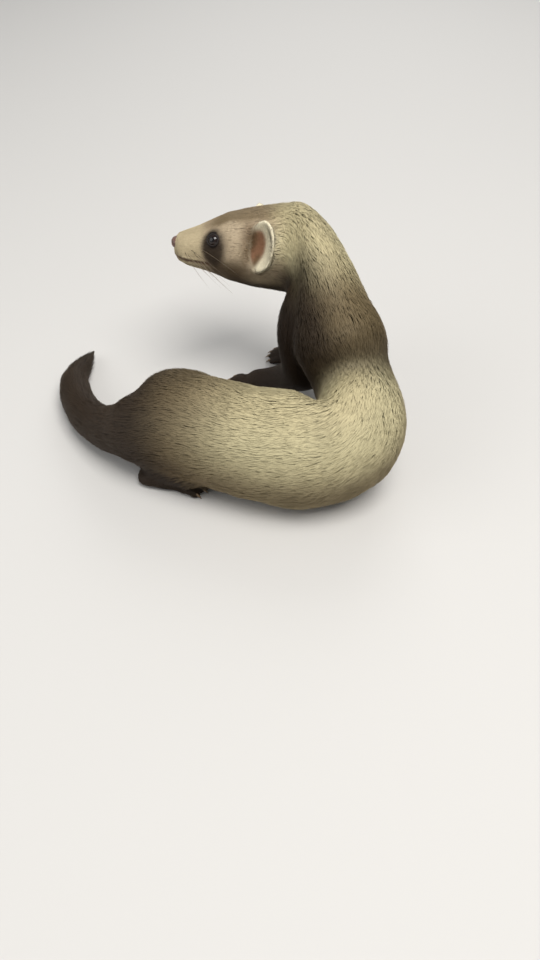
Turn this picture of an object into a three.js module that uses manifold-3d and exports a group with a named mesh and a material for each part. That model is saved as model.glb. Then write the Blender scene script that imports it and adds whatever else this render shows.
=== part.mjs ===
// A life-size ferret: its hindquarters crouch on the floor, its body turns tightly to its left
// and its front half stands up on the forelegs, so that the head looks back over the hips.
// Millimetres, +Z up. The floor is z = 0, and the origin is the middle of the ferret's base.
import * as THREE from "three";
import { mergeVertices } from "three/addons/utils/BufferGeometryUtils.js";
import Module from "manifold-3d";

const wasm = await Module();
wasm.setup();

// Driving dimensions
const GAP = 0.3; // between two touching pieces
const FLOOR_FLAT = 0; // level of every sole, belly and tail flat
const CENTRE = { x: -43.1, y: -51.4 }; // middle of the base, in the frame of the body line below

const HEAD_LENGTH = 62; // back of the skull to nose tip
const HEAD_ROLL = 17; // degrees, left cheek up
const EYE = { radius: 4.4, behind: 22.5, turn: 24, sunk: 0.64 };
const EAR = { width: 17.5, top: 15.5, bottom: 14, depth: 6, wall: 1.6 };
const EAR_PLACE = { behind: 48, out: 24, rise: 5, roll: -11, yaw: 45 }; // degrees, for the left ear
const FORE_FOOT = { length: 30, width: 17, height: 10, toe: 7, claw: 3.4 };
const HIND_FOOT = { length: 40, width: 17, height: 10, toe: 7.5, claw: 3 };

// The body line runs from the tail's tip to the skull. Each landmark gives the line's place, the
// half widths to its left and right and the heights above and below, out to the tips of the coat.
const LANDMARKS = [
  { name: "tail_tip", at: [-134, 14, 5], left: 2.2, right: 2.2, above: 2.2, below: 3 },
  { name: "tail_brush", at: [-139, -16, 10], left: 9, right: 9, above: 9, below: 10.5 },
  { name: "tail_middle", at: [-129, -46, 12], left: 11.5, right: 11.5, above: 11.5, below: 12.5 },
  { name: "tail_root", at: [-110, -70, 18], left: 13, right: 13, above: 13, below: 16 },
  { name: "rump", at: [-88, -79, 28], left: 22, right: 22, above: 21, below: 26 },
  { name: "hips", at: [-58, -86, 34], left: 29, right: 30, above: 30, below: 33 },
  { name: "loin", at: [-24, -98, 34], left: 31, right: 31, above: 31, below: 35.6 },
  { name: "waist", at: [6, -105, 36], left: 27, right: 32, above: 31, below: 37.6 },
  { name: "flank", at: [29.5, -96, 42], left: 21.5, right: 32, above: 29.5, below: 39.5 },
  { name: "ribs", at: [29, -68, 57], left: 21, right: 28, above: 28, below: 31 },
  { name: "chest", at: [18, -42, 76], left: 25, right: 28, above: 28, below: 30.5 },
  { name: "shoulders", at: [9, -18, 91.5], left: 26, right: 28.5, above: 28.5, below: 28 },
  { name: "neck", at: [2, -4, 94.5], left: 26.5, right: 27, above: 28.5, below: 26 },
  { name: "skull", at: [-7, 2, 93], left: 25.5, right: 25.5, above: 26, below: 25.5 },
];
const NOSE = [-66, -1, 97]; // where the head points

// The head's outline, by distance behind the nose tip
const HEAD_STATIONS = [
  { behind: 0, half: 2.6, above: 2.2, below: 2.6 },
  { behind: 0.9, half: 5.6, above: 4.6, below: 5.6 },
  { behind: 3, half: 8.4, above: 6.6, below: 8.4 },
  { behind: 8, half: 10.8, above: 8.6, below: 11.2 },
  { behind: 14, half: 12, above: 10.8, below: 12.8 },
  { behind: 20, half: 14.4, above: 13.6, below: 14.2 },
  { behind: 26, half: 18, above: 16.2, below: 16 },
  { behind: 34, half: 21.8, above: 19.4, below: 19 },
  { behind: 44, half: 24.2, above: 22.4, below: 22.4 },
  { behind: 54, half: 25, above: 24.6, below: 24.6 },
  { behind: HEAD_LENGTH, half: 25.5, above: 26, below: 25.5 },
];
const HEAD_SQUARENESS = 2.25;
const MOUTH = { front: 2.2, corner: 20, frontLevel: -5.2, cornerLevel: -7.2, width: 0.7, depth: 1.8 };

const COLOURS = {
  cream: 0xc9b98c,
  saddle: 0x8f7c58,
  dark: 0x2b1f14,
  mask: 0xa8977a,
  ear: 0xe8dcc0,
  eye: 0x0b0806,
  nose: 0x6f4a40,
};

// Small tools
const vec = (a) => new THREE.Vector3(...a);
const lerp = THREE.MathUtils.lerp;
const rad = THREE.MathUtils.degToRad;

// A Catmull-Rom value between four neighbours.
function blend(a, b, c, d, t) {
  return 0.5 * (2 * b + (c - a) * t + (2 * a - 5 * b + 4 * c - d) * t * t + (3 * b - a - 3 * c + d) * t ** 3);
}

// The smooth value of one key of a table at a fractional row.
function valueAt(rows, key, row) {
  const last = rows.length - 1;
  const i = Math.min(last - 1, Math.max(0, Math.floor(row)));
  const pick = (k) => rows[Math.min(last, Math.max(0, k))][key];
  return blend(pick(i - 1), pick(i), pick(i + 1), pick(i + 2), row - i);
}

// A closed mesh through rings of points, with a fan over each end.
function loft(rings) {
  const count = rings[0].length;
  const points = rings.flat();
  const faces = [];
  rings.slice(1).forEach((ring, k) => {
    for (let i = 0; i < count; i++) {
      const j = (i + 1) % count;
      const [a, b, c, d] = [k * count + i, k * count + j, (k + 1) * count + i, (k + 1) * count + j];
      faces.push(a, b, d, a, d, c);
    }
  });
  for (const [ring, start, turned] of [
    [rings[0], 0, true],
    [rings.at(-1), (rings.length - 1) * count, false],
  ]) {
    const centre = points.length;
    points.push(ring.reduce((sum, p) => sum.add(p), new THREE.Vector3()).divideScalar(count));
    for (let i = 0; i < count; i++) {
      const [a, b] = [start + i, start + ((i + 1) % count)];
      faces.push(centre, turned ? b : a, turned ? a : b);
    }
  }
  return meshOf(points, faces);
}

// A geometry from points and faces, turned inside out where its volume comes out negative.
function meshOf(points, faces) {
  let volume = 0;
  for (let i = 0; i < faces.length; i += 3) {
    const [a, b, c] = [points[faces[i]], points[faces[i + 1]], points[faces[i + 2]]];
    volume += a.dot(new THREE.Vector3().crossVectors(b, c));
  }
  const geometry = new THREE.BufferGeometry();
  geometry.setFromPoints(points);
  geometry.setIndex(volume < 0 ? faces.slice().reverse() : faces);
  return geometry;
}

// A round tube along a curve. Its radii are given by a function of the share of the way along,
// and each dome share adds a ring that rounds off both ends.
function tube(curve, radii, { steps, sides, flatten = 1, domes = [0.45, 0.8] }) {
  const side = new THREE.Vector3(0, 1, 0);
  const ring = (t, slope, outwards) => {
    const along = curve.getTangent(t);
    side.addScaledVector(along, -side.dot(along)).normalize();
    const up = new THREE.Vector3().crossVectors(along, side);
    const radius = radii(t) * Math.cos(slope);
    const centre = curve.getPoint(t).addScaledVector(along, outwards * radii(t) * flatten * Math.sin(slope));
    return Array.from({ length: sides }, (_, i) => {
      const turn = (2 * Math.PI * i) / sides;
      return centre
        .clone()
        .addScaledVector(side, radius * Math.cos(turn))
        .addScaledVector(up, radius * flatten * Math.sin(turn));
    });
  };
  const slopes = domes.map((share) => (share * Math.PI) / 2);
  const rings = slopes.map((slope) => ring(0, slope, -1)).reverse();
  for (let k = 0; k <= steps; k++) rings.push(ring(k / steps, 0, 0));
  return loft([...rings, ...slopes.map((slope) => ring(1, slope, 1))]);
}

// A ball squashed along three axes.
function ball(radii, centre, rows = 8, sides = 14) {
  const geometry = new THREE.SphereGeometry(1, sides, rows);
  geometry.scale(...radii);
  return geometry.translate(...centre);
}

// A three.js geometry as a solid that can be cut and joined.
function solid(geometry) {
  const plain = new THREE.BufferGeometry();
  plain.setAttribute("position", geometry.getAttribute("position"));
  plain.setIndex(geometry.index);
  const merged = mergeVertices(plain, 1e-4);
  return new wasm.Manifold(
    new wasm.Mesh({
      numProp: 3,
      vertProperties: new Float32Array(merged.attributes.position.array),
      triVerts: new Uint32Array(merged.index.array),
    }),
  );
}

// The largest body of a solid, as a three.js geometry.
function shape(made) {
  const [largest] = made.decompose().sort((a, b) => b.volume() - a.volume());
  const mesh = largest.getMesh();
  const geometry = new THREE.BufferGeometry();
  geometry.setAttribute("position", new THREE.BufferAttribute(mesh.vertProperties, 3));
  geometry.setIndex(new THREE.BufferAttribute(mesh.triVerts, 1));
  return geometry;
}

// Everything below the floor, for cutting soles flat.
const belowFloor = solid(new THREE.BoxGeometry(800, 800, 100).translate(0, 0, FLOOR_FLAT - 50));

function nodeMesh(name, geometry, colour, roughness = 0.9) {
  geometry.computeVertexNormals();
  const material = new THREE.MeshStandardMaterial({ color: COLOURS[colour], roughness, metalness: 0 });
  const mesh = new THREE.Mesh(geometry, material);
  mesh.name = name;
  return mesh;
}

// Body line
const linePoints = [...LANDMARKS.map((l) => vec(l.at)), vec(NOSE)];
const bodyLine = new THREE.CatmullRomCurve3(linePoints, false, "centripetal");
const lineRows = LANDMARKS.length; // the nose is one row past the skull
const rowOf = (name) => LANDMARKS.findIndex((l) => l.name === name);

// Place, directions and roll of the body line at a row of the table. The direction is that of a
// chord about the row and turns early into the head's, so that rings fan out and don't cross.
const CHORD = 1.2; // rows to either side
const TURN_FROM = 8; // row where the turn into the head begins
const lastRow = rowOf("skull");
const linePoint = (row) => bodyLine.getPoint(THREE.MathUtils.clamp(row, 0, lastRow) / lineRows);
const headAlong = vec(NOSE).sub(linePoint(lastRow)).normalize();

function bodyFrame(row) {
  const chord = linePoint(row + CHORD).sub(linePoint(row - CHORD)).normalize();
  const along = chord.lerp(headAlong, THREE.MathUtils.smoothstep(row, TURN_FROM, lastRow)).normalize();
  const left = new THREE.Vector3(0, 0, 1).cross(along).normalize();
  const up = new THREE.Vector3().crossVectors(along, left);
  const roll = rad(HEAD_ROLL) * THREE.MathUtils.smoothstep(row, rowOf("shoulders"), lastRow);
  left.applyAxisAngle(along, roll);
  up.applyAxisAngle(along, roll);
  return { centre: linePoint(row), along, left, up };
}

// Where the skin bunches up and folds in the bend: how far it rises, about which row and turn
// (degrees from the body's left towards its back), and over how many rows and degrees.
const SKIN_FORMS = [
  { name: "flank_swelling", rise: 5.5, row: 7.15, rows: 0.75, turn: 80, turns: 38 },
  { name: "flank_fold", rise: -8, row: 8.9, rows: 0.26, turn: 85, turns: 80 },
  { name: "rib_edge", rise: 2.5, row: 9.35, rows: 0.3, turn: 85, turns: 70 },
];

function skinRise(row, turn) {
  const rises = SKIN_FORMS.map((form) => {
    const along = (row - form.row) / form.rows;
    const round = (THREE.MathUtils.euclideanModulo(turn - form.turn + 180, 360) - 180) / form.turns;
    return form.rise * Math.exp(-(along ** 2) - round ** 2);
  });
  return rises.reduce((sum, rise) => sum + rise);
}

// One ring of the body, grown by an offset, and flat where it would pass through the floor.
function bodyRing(row, offset, sides) {
  const { centre, left, up } = bodyFrame(row);
  const size = (key) => valueAt(LANDMARKS, key, row) + offset;
  const [toLeft, toRight, above, below] = [size("left"), size("right"), size("above"), size("below")];
  return Array.from({ length: sides }, (_, i) => {
    const turn = (2 * Math.PI * i) / sides;
    const [across, upward] = [Math.cos(turn), Math.sin(turn)];
    const rise = skinRise(row, THREE.MathUtils.radToDeg(turn));
    const p = centre
      .clone()
      .addScaledVector(left, across * ((across > 0 ? toLeft : toRight) + rise))
      .addScaledVector(up, upward * ((upward > 0 ? above : below) + rise));
    p.z = Math.max(p.z, FLOOR_FLAT - offset);
    return p;
  });
}

// Millimetres of body line in one row of the table, at a row.
function rowLength(row) {
  const step = 0.01;
  return linePoint(row - step).distanceTo(linePoint(row)) / step;
}

// The rows of a length of the body at which it has a ring.
function ringRows({ from, to, ringsPerRow = 4 }) {
  const count = Math.round((to - from) * ringsPerRow);
  return Array.from({ length: count + 1 }, (_, k) => lerp(from, to, k / count));
}

// A length of the body between two rows, with half the gap taken off each cut end.
function bodyLength(length) {
  const { from, to, sides } = length;
  const rows = ringRows(length);
  if (from > 0) rows[0] += GAP / 2 / rowLength(from);
  rows[rows.length - 1] -= GAP / 2 / rowLength(to);
  return loft(rows.map((row) => bodyRing(row, 0, sides)));
}

// Torso, neck and tail
const TRUNK_SIDES = 28;
const TRUNK = [
  { name: "tail_tip", from: 0, to: 1.4, colour: "dark", sides: 16 },
  { name: "tail_middle", from: 1.4, to: 2.5, colour: "dark", sides: 16 },
  { name: "tail_base", from: 2.5, to: 3.6, colour: "dark", sides: 20 },
  { name: "hips", from: 3.6, to: 6, colour: "cream", sides: TRUNK_SIDES },
  { name: "loin", from: 6, to: 8.5, colour: "cream", sides: TRUNK_SIDES, ringsPerRow: 6 },
  { name: "chest", from: 8.5, to: 11.4, colour: "saddle", sides: TRUNK_SIDES, ringsPerRow: 7 },
  { name: "neck", from: 11.4, to: rowOf("skull"), colour: "cream", sides: TRUNK_SIDES },
];
const body = new THREE.Group();
for (const length of TRUNK) body.add(nodeMesh(length.name, bodyLength(length), length.colour));

// The trunk grown by the gap, which the limbs are cut back from
const trunkRows = TRUNK.filter(({ sides }) => sides === TRUNK_SIDES).flatMap((length, i) =>
  ringRows(length).slice(i > 0 ? 1 : 0),
);
const trunkGrown = solid(loft(trunkRows.map((row) => bodyRing(row, GAP * 1.2, TRUNK_SIDES))));

// Feet. In a foot's own frame +X is forward, +Y its left, and the origin lies under the ankle.
const TOES = [-2, -1, 0, 1, 2];
const knuckleLine = ({ length, toe, claw }) => length * 0.72 - toe - claw;

function pawBody(size, grow = 0) {
  const { length, width, height } = size;
  const knuckles = knuckleLine(size);
  const line = new THREE.CatmullRomCurve3([
    new THREE.Vector3(-length * 0.2, 0, height * 0.46),
    new THREE.Vector3(0, 0, height * 0.56),
    new THREE.Vector3(knuckles * 0.6, 0, height * 0.46),
    new THREE.Vector3(knuckles + 1, 0, height * 0.36),
  ]);
  const radii = (t) => grow + width * (0.3 + 0.15 * Math.sin(Math.PI * (0.1 + 0.75 * t)));
  return tube(line, radii, { steps: 4, sides: 12, flatten: 0.74 });
}

// One toe and its claw, by its number from the foot's right edge to its left.
function toePieces(size, number) {
  const { width, height, toe, claw } = size;
  const fan = number * 0.13;
  const ahead = new THREE.Vector3(Math.cos(fan), Math.sin(fan), 0);
  const setBack = number * number * 0.9;
  const root = new THREE.Vector3(knuckleLine(size) - setBack, number * width * 0.19, height * 0.3);
  const pad = root.clone().addScaledVector(ahead, toe).setZ(width * 0.13);
  const middle = root.clone().lerp(pad, 0.5).setZ(height * 0.42);
  const toeLine = new THREE.CatmullRomCurve3([root, middle, pad]);
  const clawLine = new THREE.CatmullRomCurve3([
    pad.clone().addScaledVector(ahead, 1).setZ(2.6),
    pad.clone().addScaledVector(ahead, 1 + claw * 0.6).setZ(2.4),
    pad.clone().addScaledVector(ahead, 1 + claw).setZ(0.9),
  ]);
  return [
    tube(toeLine, () => width * 0.135, { steps: 2, sides: 6, domes: [0.6] }),
    tube(clawLine, (t) => lerp(0.9, 0.3, t), { steps: 2, sides: 5, domes: [] }),
  ];
}

function foot(size) {
  const pieces = [pawBody(size), ...TOES.flatMap((number) => toePieces(size, number))];
  return pieces.map(solid).reduce((sum, piece) => sum.add(piece)).subtract(belowFloor);
}

// Legs. Each joint gives a place and the leg's radius there, coat and all.
const LEGS = [
  {
    name: "foreleg_left",
    foot: { name: "forefoot_left", size: FORE_FOOT, at: [-22, -16], heading: 168 },
    joints: [
      { at: [9, -33, 77], radius: 17 },
      { at: [4, -36, 58], radius: 15 },
      { at: [8, -39, 35], radius: 12.5 },
      { at: [-7, -27, 20], radius: 8.8 },
      { at: [-22, -16, 10], radius: 7 },
    ],
  },
  {
    name: "foreleg_right",
    foot: { name: "forefoot_right", size: FORE_FOOT, at: [5, 12], heading: 150 },
    joints: [
      { at: [18, -21, 81], radius: 18 },
      { at: [27, -13, 62], radius: 15 },
      { at: [29, -10, 44], radius: 11 },
      { at: [17, 2, 24], radius: 8.4 },
      { at: [5, 12, 10], radius: 7 },
    ],
  },
  {
    name: "hindleg_left",
    foot: { name: "hindfoot_left", size: HIND_FOOT, at: [-66, -50], heading: 4 },
    joints: [
      { at: [-70, -74, 40], radius: 21 },
      { at: [-56, -66, 35], radius: 19 },
      { at: [-43, -59, 25], radius: 12.5 },
      { at: [-55, -53, 15], radius: 8.6 },
      { at: [-66, -50, 9], radius: 7 },
    ],
  },
  {
    name: "hindleg_right",
    foot: { name: "hindfoot_right", size: HIND_FOOT, at: [-77, -98], heading: -7 },
    joints: [
      { at: [-74, -93, 36], radius: 17 },
      { at: [-58, -100, 34], radius: 16.5 },
      { at: [-51, -104, 22], radius: 12 },
      { at: [-65, -102, 14], radius: 9 },
      { at: [-77, -98, 9], radius: 7 },
    ],
  },
];

const BEND = 2; // the joint at the elbow or knee, where the leg's two round pieces meet

function legPiece(joints) {
  const line = new THREE.CatmullRomCurve3(joints.map((joint) => vec(joint.at)));
  const radii = (t) => valueAt(joints, "radius", t * (joints.length - 1));
  return solid(tube(line, radii, { steps: 7, sides: 18, domes: [0.3, 0.6, 0.85] }));
}

for (const { name, foot: paw, joints } of LEGS) {
  const place = new THREE.Group();
  place.position.set(...paw.at, 0);
  place.rotation.z = rad(paw.heading);
  place.updateMatrixWorld(true);
  const back = place.matrixWorld.clone().invert();

  const pawSolid = solid(shape(foot(paw.size)).applyMatrix4(place.matrixWorld)).subtract(trunkGrown);
  place.add(nodeMesh(paw.name, shape(pawSolid).applyMatrix4(back), "dark"));
  body.add(place);

  const pawGrown = solid(pawBody(paw.size, GAP).applyMatrix4(place.matrixWorld));
  const whole = legPiece(joints.slice(0, BEND + 1)).add(legPiece(joints.slice(BEND)));
  const leg = whole.subtract(trunkGrown).subtract(pawGrown).subtract(belowFloor);
  body.add(nodeMesh(name, shape(leg), "dark"));
}

// Head. In its own frame +X points to the nose, +Y to its left, +Z to the crown, and the
// origin is where the neck ends.
const headFrame = bodyFrame(rowOf("skull"));
const head = new THREE.Group();
head.position.copy(headFrame.centre);
head.quaternion.setFromRotationMatrix(
  new THREE.Matrix4().makeBasis(headFrame.along, headFrame.left, headFrame.up),
);

// Half width and heights of the head at a distance behind the nose tip.
function headSize(behind) {
  const row = rowAt(HEAD_STATIONS, "behind", behind);
  return ["half", "above", "below"].map((key) => valueAt(HEAD_STATIONS, key, row));
}

// The fractional row of a table at which one of its keys has a value.
function rowAt(rows, key, value) {
  const next = Math.max(1, rows.findIndex((r) => r[key] >= value));
  const [a, b] = [rows[next - 1][key], rows[next][key]];
  return next - 1 + Math.max(0, (value - a) / (b - a));
}

// A point of the head's surface at a distance behind the nose and a turn about the head's axis.
function headPoint(behind, turn) {
  const [half, above, below] = headSize(behind);
  const power = 2 / lerp(2, HEAD_SQUARENESS, THREE.MathUtils.smoothstep(HEAD_LENGTH - behind, 0, 20));
  const [c, s] = [Math.cos(turn), Math.sin(turn)];
  const height = s > 0 ? above : below;
  return new THREE.Vector3(
    HEAD_LENGTH - behind,
    Math.sign(c) * Math.abs(c) ** power * half,
    Math.sign(s) * Math.abs(s) ** power * height,
  );
}

function headLoft(rings = 19, sides = 28) {
  const made = [];
  for (let k = 0; k <= rings; k++) {
    const share = Math.sin(((k / rings) * Math.PI) / 2) ** 0.9;
    const behind = lerp(HEAD_LENGTH - GAP / 2, HEAD_STATIONS[0].behind, share);
    made.push(Array.from({ length: sides }, (_, i) => headPoint(behind, (2 * Math.PI * i) / sides)));
  }
  return loft(made);
}

// The line between the lips on one side, from the front of the mouth back to its corner.
function lipPoint(share, side, rise = 0, out = 0) {
  const behind = lerp(MOUTH.front, MOUTH.corner, share ** 1.5);
  const level = lerp(MOUTH.frontLevel, MOUTH.cornerLevel, Math.sin((share * Math.PI) / 2)) + rise;
  const [half, , below] = headSize(behind);
  const fullness = Math.max(0, 1 - (Math.abs(level) / below) ** HEAD_SQUARENESS);
  const across = fullness ** (1 / HEAD_SQUARENESS) * half;
  const wide = share < 0.3 ? across * Math.sin(((share / 0.3) * Math.PI) / 2) : across;
  const onSkin = new THREE.Vector3(HEAD_LENGTH - behind, side * wide, level);
  const axis = new THREE.Vector3(HEAD_LENGTH - behind - 6, 0, level);
  return onSkin.add(onSkin.clone().sub(axis).normalize().multiplyScalar(out));
}

// Points along both lips, from the left corner round the front to the right corner.
function lipLine(rise, out, steps = 9) {
  const line = [];
  for (let k = -steps; k <= steps; k++) line.push(lipPoint(Math.abs(k) / steps, k < 0 ? 1 : -1, rise, out));
  return line;
}

function mouthCut() {
  const [upper, lower, inner] = [
    lipLine(MOUTH.width, 1.2),
    lipLine(-MOUTH.width, 1.2),
    lipLine(0, -MOUTH.depth),
  ];
  return loft(upper.map((p, i) => [p, lower[i], inner[i]]));
}

function lip(rise) {
  const line = new THREE.CatmullRomCurve3(lipLine(rise, -0.4));
  const radii = (t) => 1.2 * Math.sqrt(Math.sin(Math.PI * lerp(0.06, 0.94, t)));
  return tube(line, radii, { steps: 12, sides: 6, domes: [] });
}

// Eyes, their lids and the nose leather
const EYE_SIDES = [
  { name: "left", side: 1 },
  { name: "right", side: -1 },
];
const eyeLook = (side) => new THREE.Vector3(0.46, side * 0.84, 0.3).normalize();

function eyeCentre(side) {
  const turn = side > 0 ? rad(EYE.turn) : Math.PI - rad(EYE.turn);
  return headPoint(EYE.behind, turn).addScaledVector(eyeLook(side), -EYE.radius * EYE.sunk);
}

function eyeBall(side, grow = 0) {
  const radius = EYE.radius + grow;
  return ball([radius, radius, radius], eyeCentre(side).toArray());
}

function lid(side) {
  const ring = new THREE.TorusGeometry(EYE.radius * 0.84, 1.25, 6, 16);
  ring.scale(1.08, 0.88, 1);
  ring.applyQuaternion(new THREE.Quaternion().setFromUnitVectors(new THREE.Vector3(0, 0, 1), eyeLook(side)));
  const middle = eyeCentre(side).addScaledVector(eyeLook(side), EYE.radius * 0.52);
  return ring.translate(...middle.toArray());
}

const NOSE_PAD = { radii: [3.2, 4.6, 3.4], centre: [HEAD_LENGTH - 1.9, 0, 1.4] };
const NOSTRIL = { radii: [1.6, 1, 0.8], out: 2.3, centre: [HEAD_LENGTH + 0.6, 1.3] };

// An ear is a rounded cup: +X looks out of the cup, +Y runs across it and +Z up to its tip.
function earLayer({ width, top, bottom, depth }, rise, shares, sides = 18) {
  return shares.map((share) =>
    Array.from({ length: sides }, (_, i) => {
      const turn = (2 * Math.PI * i) / sides;
      const tall = Math.sin(turn) > 0 ? top : bottom;
      return new THREE.Vector3(
        -depth * (1 - share ** 2.2) - rise,
        (share * width * Math.cos(turn)) / 2,
        share * tall * Math.sin(turn),
      );
    }),
  );
}

const EAR_SHARES = [0.3, 0.6, 0.82, 1];

function earCup() {
  return loft([...earLayer(EAR, EAR.wall, EAR_SHARES), ...earLayer(EAR, 0, EAR_SHARES).reverse()]);
}

// The room that an ear takes in the head, open to the outside.
function earPocket() {
  const { width, top, bottom, depth } = EAR;
  const grown = { width: width + 2 * GAP, top: top + GAP, bottom: bottom + GAP, depth };
  const back = earLayer(grown, EAR.wall + GAP, EAR_SHARES);
  const [rim] = earLayer(grown, -GAP, [1]);
  const [mouth] = earLayer({ ...grown, depth: 0 }, -depth * 0.5, [0.75]);
  return loft([...back, rim, mouth]);
}

const EARS = EYE_SIDES.map(({ name, side }) => {
  const place = new THREE.Group();
  place.position.set(HEAD_LENGTH - EAR_PLACE.behind, side * EAR_PLACE.out, EAR_PLACE.rise);
  place.rotation.set(rad(side * EAR_PLACE.roll), 0, rad(side * EAR_PLACE.yaw), "ZYX");
  place.updateMatrix();
  place.add(nodeMesh("ear_" + name, earCup(), "ear"));
  head.add(place);
  return { pocket: solid(earPocket().applyMatrix4(place.matrix)) };
});

let headSolid = solid(headLoft());
for (const { side } of EYE_SIDES) headSolid = headSolid.add(solid(lid(side)));
headSolid = headSolid.add(solid(lip(1.5))).add(solid(lip(-1.4)));
headSolid = headSolid.subtract(solid(mouthCut()));
headSolid = headSolid.subtract(solid(ball(NOSE_PAD.radii.map((r) => r + GAP), NOSE_PAD.centre)));
for (const { side } of EYE_SIDES) headSolid = headSolid.subtract(solid(eyeBall(side, GAP)));
for (const { pocket } of EARS) headSolid = headSolid.subtract(pocket);
head.add(nodeMesh("head", shape(headSolid), "mask"));

let nosePad = solid(ball(NOSE_PAD.radii, NOSE_PAD.centre));
for (const { side } of EYE_SIDES) {
  const [x, z] = NOSTRIL.centre;
  nosePad = nosePad.subtract(solid(ball(NOSTRIL.radii, [x, side * NOSTRIL.out, z], 6, 8)));
}
head.add(nodeMesh("nose", shape(nosePad), "nose", 0.5));

for (const { name, side } of EYE_SIDES) head.add(nodeMesh("eye_" + name, eyeBall(side), "eye", 0.1));

body.add(head);

const ferret = new THREE.Group();
body.position.set(-CENTRE.x, -CENTRE.y, 0);
ferret.add(body);

export default ferret;
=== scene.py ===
"""Looks of a life-size ferret: skin, coat, ears, eyes, nose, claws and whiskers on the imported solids.

Sizes are in millimetres in the frame of the body line, unless a name says otherwise, and turn into
metres in the row frame when a mesh is written.
"""

import logging
import math
from dataclasses import dataclass, field
from enum import Enum

import bmesh
import bpy
import numpy as np
from mathutils import Matrix, Vector
from mathutils.bvhtree import BVHTree


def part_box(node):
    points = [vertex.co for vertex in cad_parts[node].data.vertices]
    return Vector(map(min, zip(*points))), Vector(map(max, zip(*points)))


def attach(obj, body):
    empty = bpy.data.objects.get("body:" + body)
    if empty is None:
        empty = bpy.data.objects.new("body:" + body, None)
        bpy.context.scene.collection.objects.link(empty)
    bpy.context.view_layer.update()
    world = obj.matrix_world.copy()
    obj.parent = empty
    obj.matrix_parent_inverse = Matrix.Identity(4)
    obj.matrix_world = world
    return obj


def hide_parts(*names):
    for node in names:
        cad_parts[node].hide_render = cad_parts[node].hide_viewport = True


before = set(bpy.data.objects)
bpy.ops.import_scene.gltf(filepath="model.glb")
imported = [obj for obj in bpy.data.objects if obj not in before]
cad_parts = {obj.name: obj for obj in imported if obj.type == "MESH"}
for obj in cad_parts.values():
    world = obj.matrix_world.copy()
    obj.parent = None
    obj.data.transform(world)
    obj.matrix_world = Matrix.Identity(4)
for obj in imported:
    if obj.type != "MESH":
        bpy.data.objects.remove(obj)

MM = 0.001
SEED = 20
BASE_CENTRE = (-43.1, -51.4, 0.0)  # middle of the base, in the frame of the body line
BODY = "root"
BAKE_MAP = "OFBake"
MARKINGS = "markings"
GAZE = "gaze"
NOISE_SPAN = (0.3, 0.7)  # what noise stays within nearly everywhere
TINY = 1e-12
UPWARD = (0.0, 0.0, 1.0)
HALF_TURN, TURN = 180, 360  # degrees
CHANNEL = 255.0  # a full colour channel
SRGB_KNEE, SRGB_SLOPE, SRGB_OFFSET, SRGB_POWER = 0.04045, 12.92, 0.055, 2.4

Rgb = tuple[int, int, int]
Triple = tuple[float, float, float]
Span = tuple[float, float]  # where a soft step starts and where it is full

report = logging.getLogger("ferret")


# Small tools


def unit(vectors: np.ndarray) -> np.ndarray:
    """Vectors of length one."""
    return vectors / np.maximum(np.linalg.norm(vectors, axis=-1, keepdims=True), TINY)


def smoothstep(value: np.ndarray, low: float, high: float) -> np.ndarray:
    """A soft step from 0 at low to 1 at high, also where high is below low."""
    t = np.clip((value - low) / (high - low), 0.0, 1.0)
    return t * t * (3.0 - 2.0 * t)


def linear(rgb: Rgb) -> np.ndarray:
    """A colour as scene linear values.

    Args:
        rgb: The colour, 0 to 255 a channel.

    Returns:
        Its three linear values.
    """
    share = np.array(rgb, float) / CHANNEL
    curve = ((share + SRGB_OFFSET) / (1 + SRGB_OFFSET)) ** SRGB_POWER
    return np.where(share <= SRGB_KNEE, share / SRGB_SLOPE, curve)


def blend(base: np.ndarray, other: np.ndarray, weight: np.ndarray) -> np.ndarray:
    """Rows of colours moved towards another colour by a weight each."""
    return base + (other - base) * weight[:, None]


def rotation_about(axis: np.ndarray, angle: float) -> np.ndarray:
    """The 3 by 3 matrix of a turn about an axis, in radians."""
    return np.array(Matrix.Rotation(angle, 3, Vector(axis)))


def to_row_frame(points: np.ndarray) -> np.ndarray:
    """Points of the body line's frame, in mm, as metres in the row frame."""
    return (np.asarray(points, float) - np.array(BASE_CENTRE)) * MM


def from_row_frame(points: np.ndarray) -> np.ndarray:
    """Points of the row frame, in metres, as mm in the frame of the body line."""
    return np.asarray(points, float) / MM + np.array(BASE_CENTRE)


def mesh_arrays(mesh: bpy.types.Mesh) -> tuple[np.ndarray, np.ndarray, np.ndarray]:
    """The arrays that the coat is laid out from.

    Args:
        mesh: A mesh in the row frame, in metres.

    Returns:
        Its points in mm in the body line's frame, its normals, and its triangles.
    """
    count = len(mesh.vertices)
    points = np.empty(count * 3)
    mesh.vertices.foreach_get("co", points)
    normals = np.empty(count * 3)
    mesh.vertices.foreach_get("normal", normals)
    mesh.calc_loop_triangles()
    triangles = np.empty(len(mesh.loop_triangles) * 3, np.int32)
    mesh.loop_triangles.foreach_get("vertices", triangles)
    return from_row_frame(points.reshape(-1, 3)), normals.reshape(-1, 3), triangles.reshape(-1, 3)


# The body's line, its head and its legs, as the solids have them


@dataclass(frozen=True)
class Landmark:
    """A named place on the body line."""

    name: str
    at: Triple


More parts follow.
